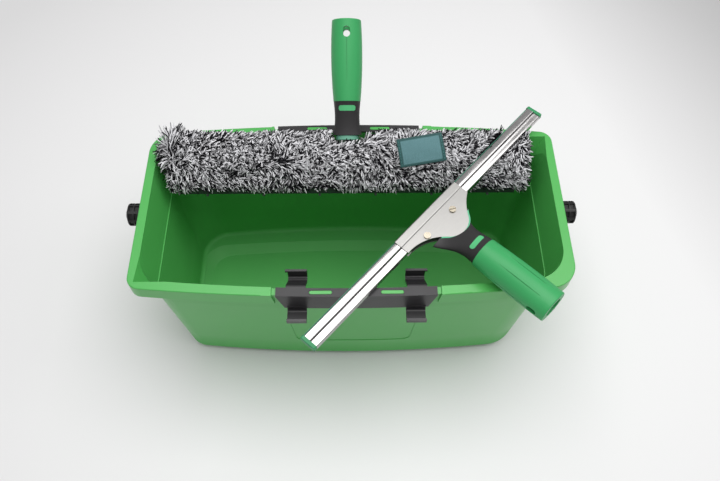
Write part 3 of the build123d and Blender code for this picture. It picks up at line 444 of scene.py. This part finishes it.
BLADE_HEADING = heading_of("blade_slide")
CHANNEL_SECTION = Rolled(
    ((0.0, 0.8), (0.06, 0.95), (0.4, 1.0), (0.6, 0.42), (0.92, 0.2), (1.0, 0.0)),
    3.5 * MM, 20.6 * MM, middle_of("squeegee_channel"), BLADE_HEADING)


class Finish(Enum):
    """The finishes of the set, by part."""

    BUCKET = Moulded("bucket_green", (0.079, 0.405, 0.088), (0.075, 0.395, 0.085), 0.29, 0.015,
                     400.0, 0.5 * MICRON, scuffed_below=60 * MM)
    BRACKET = Moulded("bracket_black", (0.022, 0.021, 0.023), (0.016, 0.015, 0.017), 0.38,
                      grain=1200.0)
    BAIL = Moulded("bail_black", (0.013, 0.013, 0.0135), (0.01, 0.01, 0.0105), 0.4, grain=1200.0,
                   grain_depth=20 * MICRON, specular=0.35)
    PIN = Moulded("pin_black", (0.026, 0.026, 0.028), (0.018, 0.018, 0.02), 0.36)
    BAR = Moulded("bar_green", (0.008, 0.032, 0.015), (0.006, 0.026, 0.012), 0.5)
    COLLAR = Moulded("collar_green", (0.16, 0.42, 0.30), (0.12, 0.36, 0.25), 0.5)
    NECK = Moulded("neck_black", (0.027, 0.0255, 0.027), (0.022, 0.021, 0.022), 0.55, grain=1700.0,
                   specular=0.35)
    GRIP = Moulded("grip_green", (0.042, 0.343, 0.108), (0.036, 0.32, 0.098), 0.42, 0.04, 1900.0,
                   20 * MICRON, specular=0.35)
    INLAY = Moulded("inlay_green", (0.09, 0.50, 0.20), (0.08, 0.46, 0.18), 0.45)
    TRIM = Moulded("trim_green", (0.09, 0.46, 0.24), (0.08, 0.42, 0.22), 0.45)
    CLIP = Moulded("clip_green", (0.035, 0.26, 0.10), (0.03, 0.23, 0.09), 0.42, specular=0.35)
    RUBBER = Moulded("blade_rubber", (0.03, 0.20, 0.12), (0.025, 0.17, 0.10), 0.55, grain=2600.0,
                     grain_depth=10 * MICRON)
    CHANNEL = Brushed("channel_steel", (0.50, 0.487, 0.484), BLADE_HEADING, 0.15,
                      depth=2.5 * MICRON, section=CHANNEL_SECTION)
    CLAMP = Brushed("clamp_steel", (0.37, 0.362, 0.35), BLADE_HEADING, 0.36, streak=1800.0,
                    depth=4 * MICRON)
    SCREW = Brushed("screw_steel", (0.40, 0.36, 0.29), -10.0, 0.22, streak=3000.0)
    PILE = Yarn("pile_yarn", (0.006, 0.0055, 0.008), (0.93, 0.925, 0.955))
    LABEL = Woven("label_cloth", (0.024, 0.10, 0.096), (0.15, 0.32, 0.345))
    THREAD = Moulded("thread_teal", (0.08, 0.28, 0.28), (0.06, 0.22, 0.22), 0.7)
    FLOOR = Seamless("floor_white", (0.80, 0.795, 0.80))

    def made(self) -> bpy.types.Material:
        """The finish's material, built once."""
        found = bpy.data.materials.get(self.value.name)
        if found is None or not found.get("dressed"):
            found = self.value.material()
            found["dressed"] = True
        return found


def dress(finishes: dict[str, Finish]) -> None:
    """Gives nodes of the frame their finishes.

    Args:
        finishes: Finish of each node.
    """
    for node, finish in finishes.items():
        piece = frame["nodes"][node]
        piece.data.materials.clear()
        piece.data.materials.append(finish.made())
        LOG.info("node %s: %s", node, finish.name.lower())


# -------- modelling helpers
def clear_selection() -> None:
    """Leaves edit mode and deselects everything."""
    if bpy.context.object and bpy.context.object.mode != "OBJECT":
        bpy.ops.object.mode_set(mode="OBJECT")
    bpy.ops.object.select_all(action="DESELECT")


def take(piece: bpy.types.Object) -> None:
    """Makes a piece the only selected and the active one."""
    clear_selection()
    piece.select_set(True)
    bpy.context.view_layer.objects.active = piece


def finish_with(piece: bpy.types.Object, kind: str, **values: object) -> None:
    """Adds a modifier, sets it and applies it.

    Args:
        piece: Piece that it changes.
        kind: Blender's name of the modifier.
        values: Its settings.
    """
    take(piece)
    modifier = piece.modifiers.new(kind.lower(), kind)
    for key, value in values.items():
        setattr(modifier, key, value)
    bpy.ops.object.modifier_apply(modifier=modifier.name)


# -------- strands
@dataclass
class Strand:
    """A short strand of yarn, modelled once and bent along a curve wherever it is laid."""

    root_radius: float = 0.9
    # rise of each ring above the last one, and its width to that one's
    rings: tuple[Pair, ...] = ((0.3, 1.12), (0.42, 0.97), (0.22, 0.8), (0.06, 0.35))

    def __post_init__(self) -> None:
        """Models the strand upright, one long and about one in radius, closed at both ends."""
        clear_selection()
        bpy.ops.mesh.primitive_circle_add(vertices=4, radius=self.root_radius, fill_type="NGON")
        bpy.ops.object.mode_set(mode="EDIT")
        bpy.ops.mesh.select_all(action="SELECT")
        for rise, widening in self.rings:
            bpy.ops.mesh.extrude_region_move(TRANSFORM_OT_translate={"value": (0, 0, rise)})
            bpy.ops.transform.resize(value=(widening, widening, 1))
        bpy.ops.mesh.merge(type="CENTER")
        bpy.ops.mesh.select_all(action="SELECT")
        bpy.ops.mesh.normals_make_consistent(inside=False)
        bpy.ops.object.mode_set(mode="OBJECT")
        model = bpy.context.object
        self.shape = np.array([v.co for v in model.data.vertices])
        self.faces = sorted((tuple(f.vertices) for f in model.data.polygons), key=sorted)
        bpy.data.objects.remove(model)

    def laid(self, root: Vector, start: Vector, end: Vector, length: float,
             radius: float) -> np.ndarray:
        """Bends the strand along a curve.

        Args:
            root: Point that it starts from.
            start: Its direction there.
            end: Its direction at the tip.
            length: Its length.
            radius: Its radius.

        Returns:
            Its vertices along the curve.
        """
        first, last = np.array(start.normalized()), np.array(end.normalized())
        t = self.shape[:, 2:3]
        line = np.array(root) + length * (t * first + 0.5 * t * t * (last - first))
        ahead = first + t * (last - first)
        ahead /= np.linalg.norm(ahead, axis=1, keepdims=True)
        wide = np.cross(first, last)
        if np.linalg.norm(wide) < 1e-4:
            wide = np.array(start.orthogonal())
        wide /= np.linalg.norm(wide)
        high = np.cross(ahead, wide)
        return line + radius * (self.shape[:, 0:1] * wide + self.shape[:, 1:2] * high)

    def piece(self, name: str, strands: list[np.ndarray], finish: Finish) -> bpy.types.Object:
        """Joins laid strands into one smooth piece.

        Args:
            name: Name of the piece.
            strands: Vertices of each strand.
            finish: Finish of the piece.

        Returns:
            The piece.
        """
        size = len(self.shape)
        faces = [tuple(number * size + corner for corner in face)
                 for number in range(len(strands)) for face in self.faces]
        mesh = bpy.data.meshes.new(name)
        mesh.from_pydata(np.concatenate(strands).tolist(), [], faces)
        mesh.materials.append(finish.made())
        mesh.shade_smooth()
        piece = bpy.data.objects.new(name, mesh)
        bpy.context.scene.collection.objects.link(piece)
        return piece

    def uv(self) -> np.ndarray:
        """UV of each of its vertices: once round it, and along it."""
        turn = np.arctan2(self.shape[:, 1], self.shape[:, 0])
        return np.stack((turn / math.tau + 0.5, self.shape[:, 2]), axis=1)


# -------- bucket, brackets and bail
@dataclass
class Bucket:
    """The bucket and what is clipped or hung on it."""

    finishes: dict[str, Finish] = field(default_factory=lambda: {
        "bucket": Finish.BUCKET, "front_bracket": Finish.BRACKET, "rear_bracket": Finish.BRACKET,
        "bail": Finish.BAIL, "pivot_pins": Finish.PIN})

    def build(self) -> None:
        """Dresses the nodes of the bucket."""
        dress(self.finishes)


# -------- strip washer
@dataclass
class SleeveForm:
    """Outer form of the sleeve, an oval tube round the bar.

    Its own frame has x along the bar, y up the handle and z out of the sleeve's upper side.
    """

    rise: float = 40.0                      # handle above the horizontal, degrees
    reach: float = 41 * MM                  # half of the section along the handle
    half_thickness: float = 25 * MM
    half_length: float = 243 * MM

    def __post_init__(self) -> None:
        """Works out the frame from the plain solid's place."""
        low, high = (Vector(corner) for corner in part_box("washer_sleeve"))
        turn = Matrix.Rotation(math.radians(self.rise), 4, "X")
        self.axes = Matrix.Translation((low + high) / 2) @ turn
        self.turned = self.axes.to_3x3()
        self.inverse = self.axes.inverted()


@dataclass
class Label:
    """Sewn-on ribbon that follows the top of the sleeve, a little wavy, with a hem all round."""

    form: SleeveForm
    size: Pair = (61 * MM, 37 * MM)
    middle: Pair = (97 * MM, 14 * MM)       # along the bar and up the handle
    turn: float = 9.0                       # degrees
    rise: float = 1.4 * MM                  # above the plain sleeve
    thickness: float = 0.7 * MM
    margin: float = 1.5 * MM                # kept free of tall pile round it
    hem: float = 0.84                       # where the hem starts, of its half length
    hem_across: float = 1.04                # how much sooner it starts across the label
    curled: float = 0.5 * MM                # lift of its edges
    wavy: float = 0.35 * MM                 # height of its waves
    waves: Triple = (9, 4, 7)               # their run along it, askew and across it
    squares: tuple[int, int] = (44, 28)     # of its mesh
    stitches: int = 9                       # at each end
    stitch_pitch: float = 0.1               # of the label's width
    stitch_half: float = 0.34               # half of a stitch, of the pitch
    stitch_end: float = 0.46                # place of the seams, of the label's length
    stitch_rise: float = 0.12 * MM
    thread_radius: float = 0.32 * MM

    def height(self, along: float) -> float:
        """Height of the underside at a place up the handle, both in the sleeve's frame."""
        slope = math.asin(max(-1.0, min(1.0, along / (self.form.reach + self.rise))))
        return (self.form.half_thickness + self.rise) * math.cos(slope)

    def covers(self, here: Vector) -> bool:
        """True for a point of the sleeve's frame under the label or its margin."""
        turn = math.radians(-self.turn)
        x, y = here.x - self.middle[0], here.y - self.middle[1]
        u = x * math.cos(turn) - y * math.sin(turn)
        v = x * math.sin(turn) + y * math.cos(turn)
        return abs(u) < self.size[0] / 2 + self.margin and abs(v) < self.size[1] / 2 + self.margin

    def point(self, u: float, v: float) -> Vector:
        """Point of the underside.

        Args:
            u: Place along the label, from -0.5 to 0.5.
            v: Place across it, from -0.5 to 0.5.

        Returns:
            The point, in metres in the frame of the model.
        """
        turn = math.radians(self.turn)
        along, across = u * self.size[0], v * self.size[1]
        x = self.middle[0] + along * math.cos(turn) - across * math.sin(turn)
        y = self.middle[1] + along * math.sin(turn) + across * math.cos(turn)
        lifted = self.curled * (abs(2 * u) ** 4 + abs(2 * v) ** 4)
        down, askew, over = self.waves
        wave = self.wavy * math.sin(down * u + askew * v) * math.cos(over * v)
        return self.form.axes @ Vector((x, y, self.height(y) + lifted + wave))

    def ribbon(self) -> bpy.types.Object:
        """The ribbon itself, with its hem marked for the cloth's border."""
        clear_selection()
        columns, rows = self.squares
        bpy.ops.mesh.primitive_grid_add(x_subdivisions=columns, y_subdivisions=rows, size=1.0)
        piece = bpy.context.object
        piece.name = piece.data.name = "label_ribbon"
        border = piece.data.attributes.new("border", "FLOAT", "POINT")
        for vert, mark in zip(piece.data.vertices, border.data):
            u, v = vert.co.x, vert.co.y
            mark.value = 1.0 if max(abs(2 * u), abs(2 * v) * self.hem_across) > self.hem else 0.0
            vert.co = self.point(u, v)
        finish_with(piece, "SOLIDIFY", thickness=self.thickness, offset=1.0)
        piece.data.materials.append(Finish.LABEL.made())
        piece.data.shade_smooth()
        return piece

    def stitching(self, strand: Strand) -> bpy.types.Object:
        """Thread that sews the two short ends down.

        Args:
            strand: The model that each stitch is a copy of.

        Returns:
            The stitches, as one piece.
        """
        above = self.form.turned @ Vector((0, 0, 1)) * (self.thickness + self.stitch_rise)
        half = self.stitch_half * self.stitch_pitch
        laid = []
        for end in (-self.stitch_end, self.stitch_end):
            for number in range(self.stitches):
                v = (number - (self.stitches - 1) / 2) * self.stitch_pitch
                first = self.point(end, v - half) + above
                way = self.point(end, v + half) + above - first
                laid.append(strand.laid(first, way, way, way.length, self.thread_radius))
        return strand.piece("label_stitching", laid, Finish.THREAD)


@dataclass
class Tuft:
    """What the strands that will make one piece of the pile have gathered."""

    strands: list[np.ndarray] = field(default_factory=list)
    tones: list[float] = field(default_factory=list)
    ways: list[Vector] = field(default_factory=list)    # out of the sleeve, at each strand


@dataclass
class Sleeve:
    """Pile sleeve of the washer: a knitted backing with strands of yarn planted all over it."""

    form: SleeveForm
    label: Label
    voxel: float = 3.6 * MM
    draw_in: float = 6.0 * MM               # backing below the tips of the pile
    slack: float = 1.5 * MM                 # how far the backing may puff out
    pressure: float = 3.0
    puff_steps: int = 15
    pieces: int = 4                         # that the pile is divided into
    count: int = 20000                      # strands
    lip_count: int = 2600                   # more of them, over the bar's edge
    lip_turn: Pair = (7, 50)                # where those grow, degrees from the slot
    length: float = 10.5 * MM               # of a strand
    radius: float = 0.8 * MM
    vary: Pair = (0.75, 1.2)                # share of that length and radius
    lift: Pair = (0.24, 0.62)               # how upright a strand starts, 1 at most
    lip_lift: Pair = (0.65, 1.0)
    curl: Pair = (0.2, 0.75)                # how far its tip bends over
    flare: float = 1.9                      # taller strands at the upper edge of the left end
    flare_from: float = 0.93                # where they start, of the half length
    swirl: Triple = (30, 34, 34)            # changes of the strands' heading, per metre
    swirl_turn: float = 3.2                 # how far they turn, radians
    heading_spread: float = 0.75            # of single strands, radians
    tones: tuple[Pair, ...] = ((1.0, 1.25), (0.85, 1.1), (0.45, 0.85), (0.2, 0.5), (-0.2, 0.05),
                               (-0.2, 0.0))
    softness: float = 0.38                  # share of the pile's own direction in the shading
    slot_half: float = 3.2 * MM             # strip left bare where the bar's edge comes out
    end_band: float = 2.2                   # depth of the sleeve's ends, in draw-ins
    facing: Pair = (0.25, 0.5)              # how far the backing faces out, round it and at an end
    lip_depth: float = 0.8                  # roots of the lips' strands, in draw-ins
    lip_span: float = 0.98                  # how far the lips run, of the half length
    upright: float = 0.95                   # most that a strand outside the lips stands up
    clearance: float = 0.5 * MM
    label_gap: float = 0.3 * MM             # from the pile's tips to the label
    tries: int = 5                          # for a strand, each flatter and shorter
    flatter: float = 0.5
    shorter: float = 0.82
    search: float = 30 * MM                 # how far off neighbours are looked for
    neighbours: tuple[str, ...] = (
        "rear_bracket", "bucket", "washer_neck", "washer_collar", "washer_t_bar",
        "squeegee_channel", "squeegee_rubber", "end_clip_right", "clamp_top", "clamp_bottom",
        "clamp_nuts")

    def __post_init__(self) -> None:
        """Starts the draws, and gathers what the pile has to stay clear of."""
        self.draw = random.Random(7)
        self.strand = Strand()
        verts, faces = [], []
        for node in self.neighbours:
            mesh = frame["nodes"][node].data
            start = len(verts)
            verts += [v.co.copy() for v in mesh.vertices]
            faces += [tuple(start + i for i in face.vertices) for face in mesh.polygons]
        self.obstacle = BVHTree.FromPolygons(verts, faces)

    def backing(self) -> bpy.types.Object:
        """The plain solid, drawn in by the height of the pile and then puffed out.

        Returns:
            The backing, a closed shell.
        """
        clear_selection()
        piece = frame["nodes"]["washer_sleeve"].copy()
        piece.data = piece.data.copy()
        piece.name = "sleeve_backing"
        piece.hide_render = False
        bpy.context.scene.collection.objects.link(piece)
        take(piece)
        bpy.ops.object.mode_set(mode="EDIT")
        bpy.ops.mesh.select_all(action="SELECT")
        bpy.ops.mesh.remove_doubles(threshold=0.01 * MM)
        bpy.ops.object.mode_set(mode="OBJECT")
        finish_with(piece, "REMESH", mode="VOXEL", voxel_size=self.voxel)
        finish_with(piece, "DISPLACE", mid_level=0.0, strength=-self.draw_in)
        finish_with(piece, "SMOOTH", factor=0.6, iterations=4)
        self.puff(piece)
        tone = piece.data.attributes.new("tone", "FLOAT", "POINT")
        tone.data.foreach_set("value", np.zeros(len(piece.data.vertices), np.float32))
        piece.data.uv_layers.new(name="UVMap")
        piece.data.materials.clear()
        piece.data.materials.append(Finish.PILE.made())
        piece.data.shade_smooth()
        return piece

    def puff(self, piece: bpy.types.Object) -> None:
        """Lets the backing puff out as cloth, held where it runs along the bar.

        Args:
            piece: The backing, whose mesh is changed.
        """
        begin = np.array([v.co for v in piece.data.vertices])
        held = piece.vertex_groups.new(name="held")
        inner = [v.index for v in piece.data.vertices if not self.outside(v.co, v.normal)]
        held.add(inner, 1.0, "REPLACE")
        cloth = piece.modifiers.new("cloth", "CLOTH")
        cloth.settings.quality = 4
        cloth.settings.use_pressure = True
        cloth.settings.uniform_pressure_force = self.pressure
        cloth.settings.vertex_group_mass = held.name
        cloth.settings.effector_weights.gravity = 0.0
        cloth.collision_settings.use_collision = False
        cloth.collision_settings.use_self_collision = False
        for step in range(self.puff_steps):
            bpy.context.scene.frame_set(step + 1)
        take(piece)
        bpy.ops.object.modifier_apply(modifier=cloth.name)
        bpy.context.scene.frame_set(1)
        moved = np.array([v.co for v in piece.data.vertices]) - begin
        far = np.linalg.norm(moved, axis=1, keepdims=True)
        kept = begin + moved * np.minimum(1.0, self.slack / np.maximum(far, 1e-9))
        piece.data.vertices.foreach_set("co", kept.astype(np.float32).ravel())
        piece.data.update()

    def outside(self, point: Vector, normal: Vector) -> bool:
        """Tells where the backing faces out of the sleeve, clear of the bar's slot.

        Args:
            point: Point of the backing.
            normal: Its normal there.

        Returns:
            True where strands grow.
        """
        here = self.form.inverse @ point
        way = self.form.turned.transposed() @ normal
        if here.y < 0 and abs(here.z) < self.slot_half:
            return False
        band = self.form.half_length - self.end_band * self.draw_in
        end = abs(here.x) > band and way.x * here.x > 0
        out = way.y * here.y / self.form.reach ** 2 + way.z * here.z / self.form.half_thickness ** 2
        round_it, at_end = self.facing
        return out * self.form.half_thickness > round_it or (end and abs(way.x) > at_end)

    def pile(self, backing: bpy.types.Object) -> list[bpy.types.Object]:
        """Strands of yarn all over the backing, in a few pieces.

        Args:
            backing: The shell that they stand on.

        Returns:
            The pieces.
        """
        tufts = [Tuft() for _ in range(self.pieces)]
        for number, (root, normal, lip) in enumerate(self.roots(backing)):
            verts, tone = self.grow(root, normal, lip)
            if verts is not None:
                tuft = tufts[number % self.pieces]
                tuft.strands.append(verts)
                tuft.tones.append(tone)
                tuft.ways.append(normal)
        return [self.joined(f"sleeve_pile_{n + 1}", tuft) for n, tuft in enumerate(tufts)]

    def roots(self, backing: bpy.types.Object) -> list[tuple[Vector, Vector, bool]]:
        """Points where the strands start, on the backing and along both lips over the bar's edge.

        Args:
            backing: The shell that they stand on.

        Returns:
            Each point with the direction out of the sleeve there, and True on a lip.
        """
        form, draw = self.form, self.draw
        faces = [f for f in backing.data.polygons if self.outside(f.center, f.normal)]
        corners = [v.co.copy() for v in backing.data.vertices]
        found = []
        for face in draw.choices(faces, [f.area for f in faces], k=self.count):
            share = [draw.random() for _ in face.vertices]
            point = sum((corners[i] * s for i, s in zip(face.vertices, share)), Vector())
            found.append((point / max(sum(share), 1e-6), face.normal.copy(), False))
        depth, run = self.lip_depth * self.draw_in, self.lip_span
        for _ in range(self.lip_count):
            turn = math.pi + math.radians(draw.choice((-1, 1)) * draw.uniform(*self.lip_turn))
            here = Vector((draw.uniform(-run, run) * form.half_length,
                           (form.reach - depth) * math.cos(turn),
                           (form.half_thickness - depth) * math.sin(turn)))
            way = Vector((0, math.cos(turn) / form.reach, math.sin(turn) / form.half_thickness))
            found.append((form.axes @ here, (form.turned @ way).normalized(), True))
        return found

    def grow(self, root: Vector, normal: Vector, lip: bool) -> tuple[np.ndarray | None, float]:
        """Lays one strand on the backing, flatter and shorter until it clears its neighbours.

        Args:
            root: Point that it grows from.
            normal: Direction out of the sleeve there.
            lip: True where it hangs over the bar's edge.

        Returns:
            Its vertices, or None where there is no room for it, and its tone.
        """
        form, draw = self.form, self.draw
        here = form.inverse @ root
        across = normal.orthogonal().normalized()
        bar = form.turned @ Vector((1, 0, 0))
        if normal.cross(bar).length > 0.2:
            across = (bar - normal * bar.dot(normal)).normalized()
        spot = Vector([place * turns for place, turns in zip(here, self.swirl)])
        swirl = noise.noise(spot) * self.swirl_turn
        heading = draw.gauss(swirl, self.heading_spread)
        flat = across * math.cos(heading) + normal.cross(across) * math.sin(heading)
        flared = here.x < -self.flare_from * form.half_length and here.y > 0
        tall = self.flare if flared else 1.0
        length = self.length * draw.uniform(*self.vary) * tall
        radius = self.radius * draw.uniform(*self.vary)
        lift = draw.uniform(*(self.lip_lift if lip else self.lift))
        if not lip:
            lift = min(self.upright, lift * tall)
        curl = draw.uniform(*self.curl)
        tone = draw.choice([draw.uniform(*tone) for tone in self.tones])
        for _ in range(self.tries):
            start = normal * lift + flat * (1 - lift)
            end = normal * lift * (1 - curl) + flat * (1 - 0.4 * lift)
            verts = self.strand.laid(root, start, end, length, radius)
            if self.clear(verts):
                return verts, tone
            lift *= self.flatter
            length *= self.shorter
        return None, tone

    def clear(self, verts: np.ndarray) -> bool:
        """Tells whether a strand keeps off its neighbours and stays below the label.

        Args:
            verts: Its vertices, of which every third is tried from the tip down.

        Returns:
            True if it does.
        """
        for vert in verts[-1:0:-3]:
            point = Vector(vert)
            spot, normal, _, gap = self.obstacle.find_nearest(point, self.search)
            if spot is not None and (gap < self.clearance or (point - spot).dot(normal) < 0):
                return False
            here = self.form.inverse @ point
            if here.z > 0 and self.label.covers(here):
                if here.z > self.label.height(here.y) - self.label_gap:
                    return False
        return True

    def joined(self, name: str, tuft: Tuft) -> bpy.types.Object:
        """Joins the strands of one tuft into a piece.

        Args:
            name: Name of the piece.
            tuft: Its strands.

        Returns:
            The piece, shaded as the soft mass that its strands make together.
        """
        piece = self.strand.piece(name, tuft.strands, Finish.PILE)
        mesh, size = piece.data, len(self.strand.shape)
        tones = np.repeat(np.array(tuft.tones, np.float32), size)
        mesh.attributes.new("tone", "FLOAT", "POINT").data.foreach_set("value", tones)
        corners = np.zeros(len(mesh.loops), np.int32)
        mesh.loops.foreach_get("vertex_index", corners)
        layer = mesh.uv_layers.new(name="UVMap")
        layer.data.foreach_set("uv", self.strand.uv()[corners % size].astype(np.float32).ravel())
        ways = np.repeat(np.array(tuft.ways, np.float32), size, axis=0)
        facing = np.array([n.vector for n in mesh.vertex_normals])
        facing = facing * (1 - self.softness) + ways * self.softness
        facing /= np.linalg.norm(facing, axis=1, keepdims=True)
        mesh.normals_split_custom_set_from_vertices(facing.tolist())
        return piece


@dataclass
class Washer:
    """The strip washer: hard parts of the frame, with the sleeve and its label made here."""

    finishes: dict[str, Finish] = field(default_factory=lambda: {
        "washer_t_bar": Finish.BAR, "washer_collar": Finish.COLLAR, "washer_neck": Finish.NECK,
        "washer_grip": Finish.GRIP, "washer_inlay": Finish.INLAY, "washer_screw": Finish.SCREW})

    def build(self) -> None:
        """Dresses the hard parts and makes the sleeve and its label."""
        dress(self.finishes)
        form = SleeveForm()
        label = Label(form)
        sleeve = Sleeve(form, label)
        backing = sleeve.backing()
        pile = sleeve.pile(backing)
        ribbon, stitching = label.ribbon(), label.stitching(sleeve.strand)
        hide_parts("washer_sleeve")
        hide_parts("washer_label")
        for piece in (backing, *pile, ribbon, stitching):
            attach(piece, "washer")
            LOG.info("piece %s: %d faces", piece.name, len(piece.data.polygons))


# -------- squeegee
@dataclass
class Squeegee:
    """The squeegee's channel, rubber, clips, clamp and handle."""

    finishes: dict[str, Finish] = field(default_factory=lambda: {
        "squeegee_channel": Finish.CHANNEL, "squeegee_rubber": Finish.RUBBER,
        "end_clip_left": Finish.CLIP, "end_clip_right": Finish.CLIP, "clamp_top": Finish.CLAMP,
        "clamp_bottom": Finish.CLAMP, "clamp_screws": Finish.SCREW, "clamp_nuts": Finish.SCREW,
        "squeegee_neck": Finish.NECK, "squeegee_trim": Finish.TRIM, "squeegee_grip": Finish.GRIP,
        "squeegee_inlay": Finish.INLAY})

    def build(self) -> None:
        """Dresses the nodes of the squeegee."""
        dress(self.finishes)


# -------- studio
@dataclass(frozen=True)
class Softbox:
    """A rectangular lamp."""

    name: str
    place: Triple                           # its middle
    aim: Triple                             # point that it faces
    size: Pair
    power: float                            # watts

    def light(self) -> None:
        """Puts the lamp into the scene."""
        data = bpy.data.lights.new(self.name, "AREA")
        data.shape = "RECTANGLE"
        data.size, data.size_y = self.size
        data.energy = self.power
        lamp = bpy.data.objects.new(self.name, data)
        bpy.context.scene.collection.objects.link(lamp)
        lamp.location = self.place
        way = Vector(self.aim) - Vector(self.place)
        lamp.rotation_euler = way.to_track_quat("-Z", "Y").to_euler()


@dataclass
class Studio:
    """Floor, lamps, world and camera."""

    eye: Triple = (0.0, -516.6 * MM, 997.0 * MM)
    down: float = 58.72                     # degrees below the horizontal
    yaw: float = -1.165
    roll: float = 0.639
    lens: float = 35.73
    floor_size: float = 9.0
    floor_drop: float = 0.5 * MM            # below the bucket's foot
    lamps: tuple[Softbox, ...] = (
        Softbox("key", (0.2, 0.1, 2.2), (0.2, 0.1, 0), (2.0, 1.95), 40.0),
        Softbox("side", (1.7, 0.1, 1.9), (0, 0, 0.15), (0.9, 0.9), 6.0))
    glow: Pair = (0.5, 0.48)                # strength of the world, low and high above the floor
    glow_span: Pair = (0.1, 0.7)            # z of the directions that those are for

    def build(self) -> None:
        """Makes the stage."""
        self.floor()
        for lamp in self.lamps:
            lamp.light()
        self.world()
        self.camera()
        bpy.context.scene.view_settings.view_transform = "Standard"

    def floor(self) -> None:
        """A wide pale floor."""
        clear_selection()
        bpy.ops.mesh.primitive_plane_add(size=self.floor_size, location=(0, 0, -self.floor_drop))
        floor = bpy.context.object
        floor.name = "floor"
        floor.data.materials.append(Finish.FLOOR.made())

    def world(self) -> None:
        """Even light all round."""
        world = bpy.data.worlds.new("studio")
        world.use_nodes = True
        tree = world.node_tree
        heading = tree.nodes.new("ShaderNodeTexCoord")
        split = tree.nodes.new("ShaderNodeSeparateXYZ")
        ramp = tree.nodes.new("ShaderNodeMapRange")
        ramp.interpolation_type = "SMOOTHSTEP"
        for key, number in zip(SPAN_SOCKETS, (*self.glow_span, *self.glow)):
            ramp.inputs[key].default_value = number
        tree.links.new(heading.outputs["Generated"], split.inputs[0])
        tree.links.new(split.outputs["Z"], ramp.inputs["Value"])
        tree.links.new(ramp.outputs[0], tree.nodes["Background"].inputs["Strength"])
        tree.nodes["Background"].inputs["Color"].default_value = (1, 1, 1, 1)
        bpy.context.scene.world = world

    def camera(self) -> None:
        """The camera, looking down over the front of the bucket."""
        down, yaw, roll = (math.radians(a) for a in (self.down, self.yaw, self.roll))
        swing = Matrix.Rotation(yaw, 3, "Z")
        ahead = swing @ Vector((0, math.cos(down), -math.sin(down)))
        right = swing @ Vector((1, 0, 0))
        up = swing @ Vector((0, math.sin(down), math.cos(down)))
        tilted_right = right * math.cos(roll) + up * math.sin(roll)
        tilted_up = up * math.cos(roll) - right * math.sin(roll)
        data = bpy.data.cameras.new("camera")
        data.sensor_width = 36.0
        data.lens = self.lens
        data.clip_start = 20 * MM
        camera = bpy.data.objects.new("camera", data)
        bpy.context.scene.collection.objects.link(camera)
        turn = Matrix((tilted_right, tilted_up, -ahead)).transposed().to_4x4()
        camera.matrix_world = Matrix.Translation(self.eye) @ turn
        bpy.context.scene.camera = camera


def main() -> None:
    """Builds the scene part by part."""
    logging.basicConfig(level=logging.INFO)
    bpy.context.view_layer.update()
    for part in (Bucket(), Washer(), Squeegee(), Studio()):
        part.build()
        LOG.info("built %s", type(part).__name__)


if __name__ == "__main__":
    main()
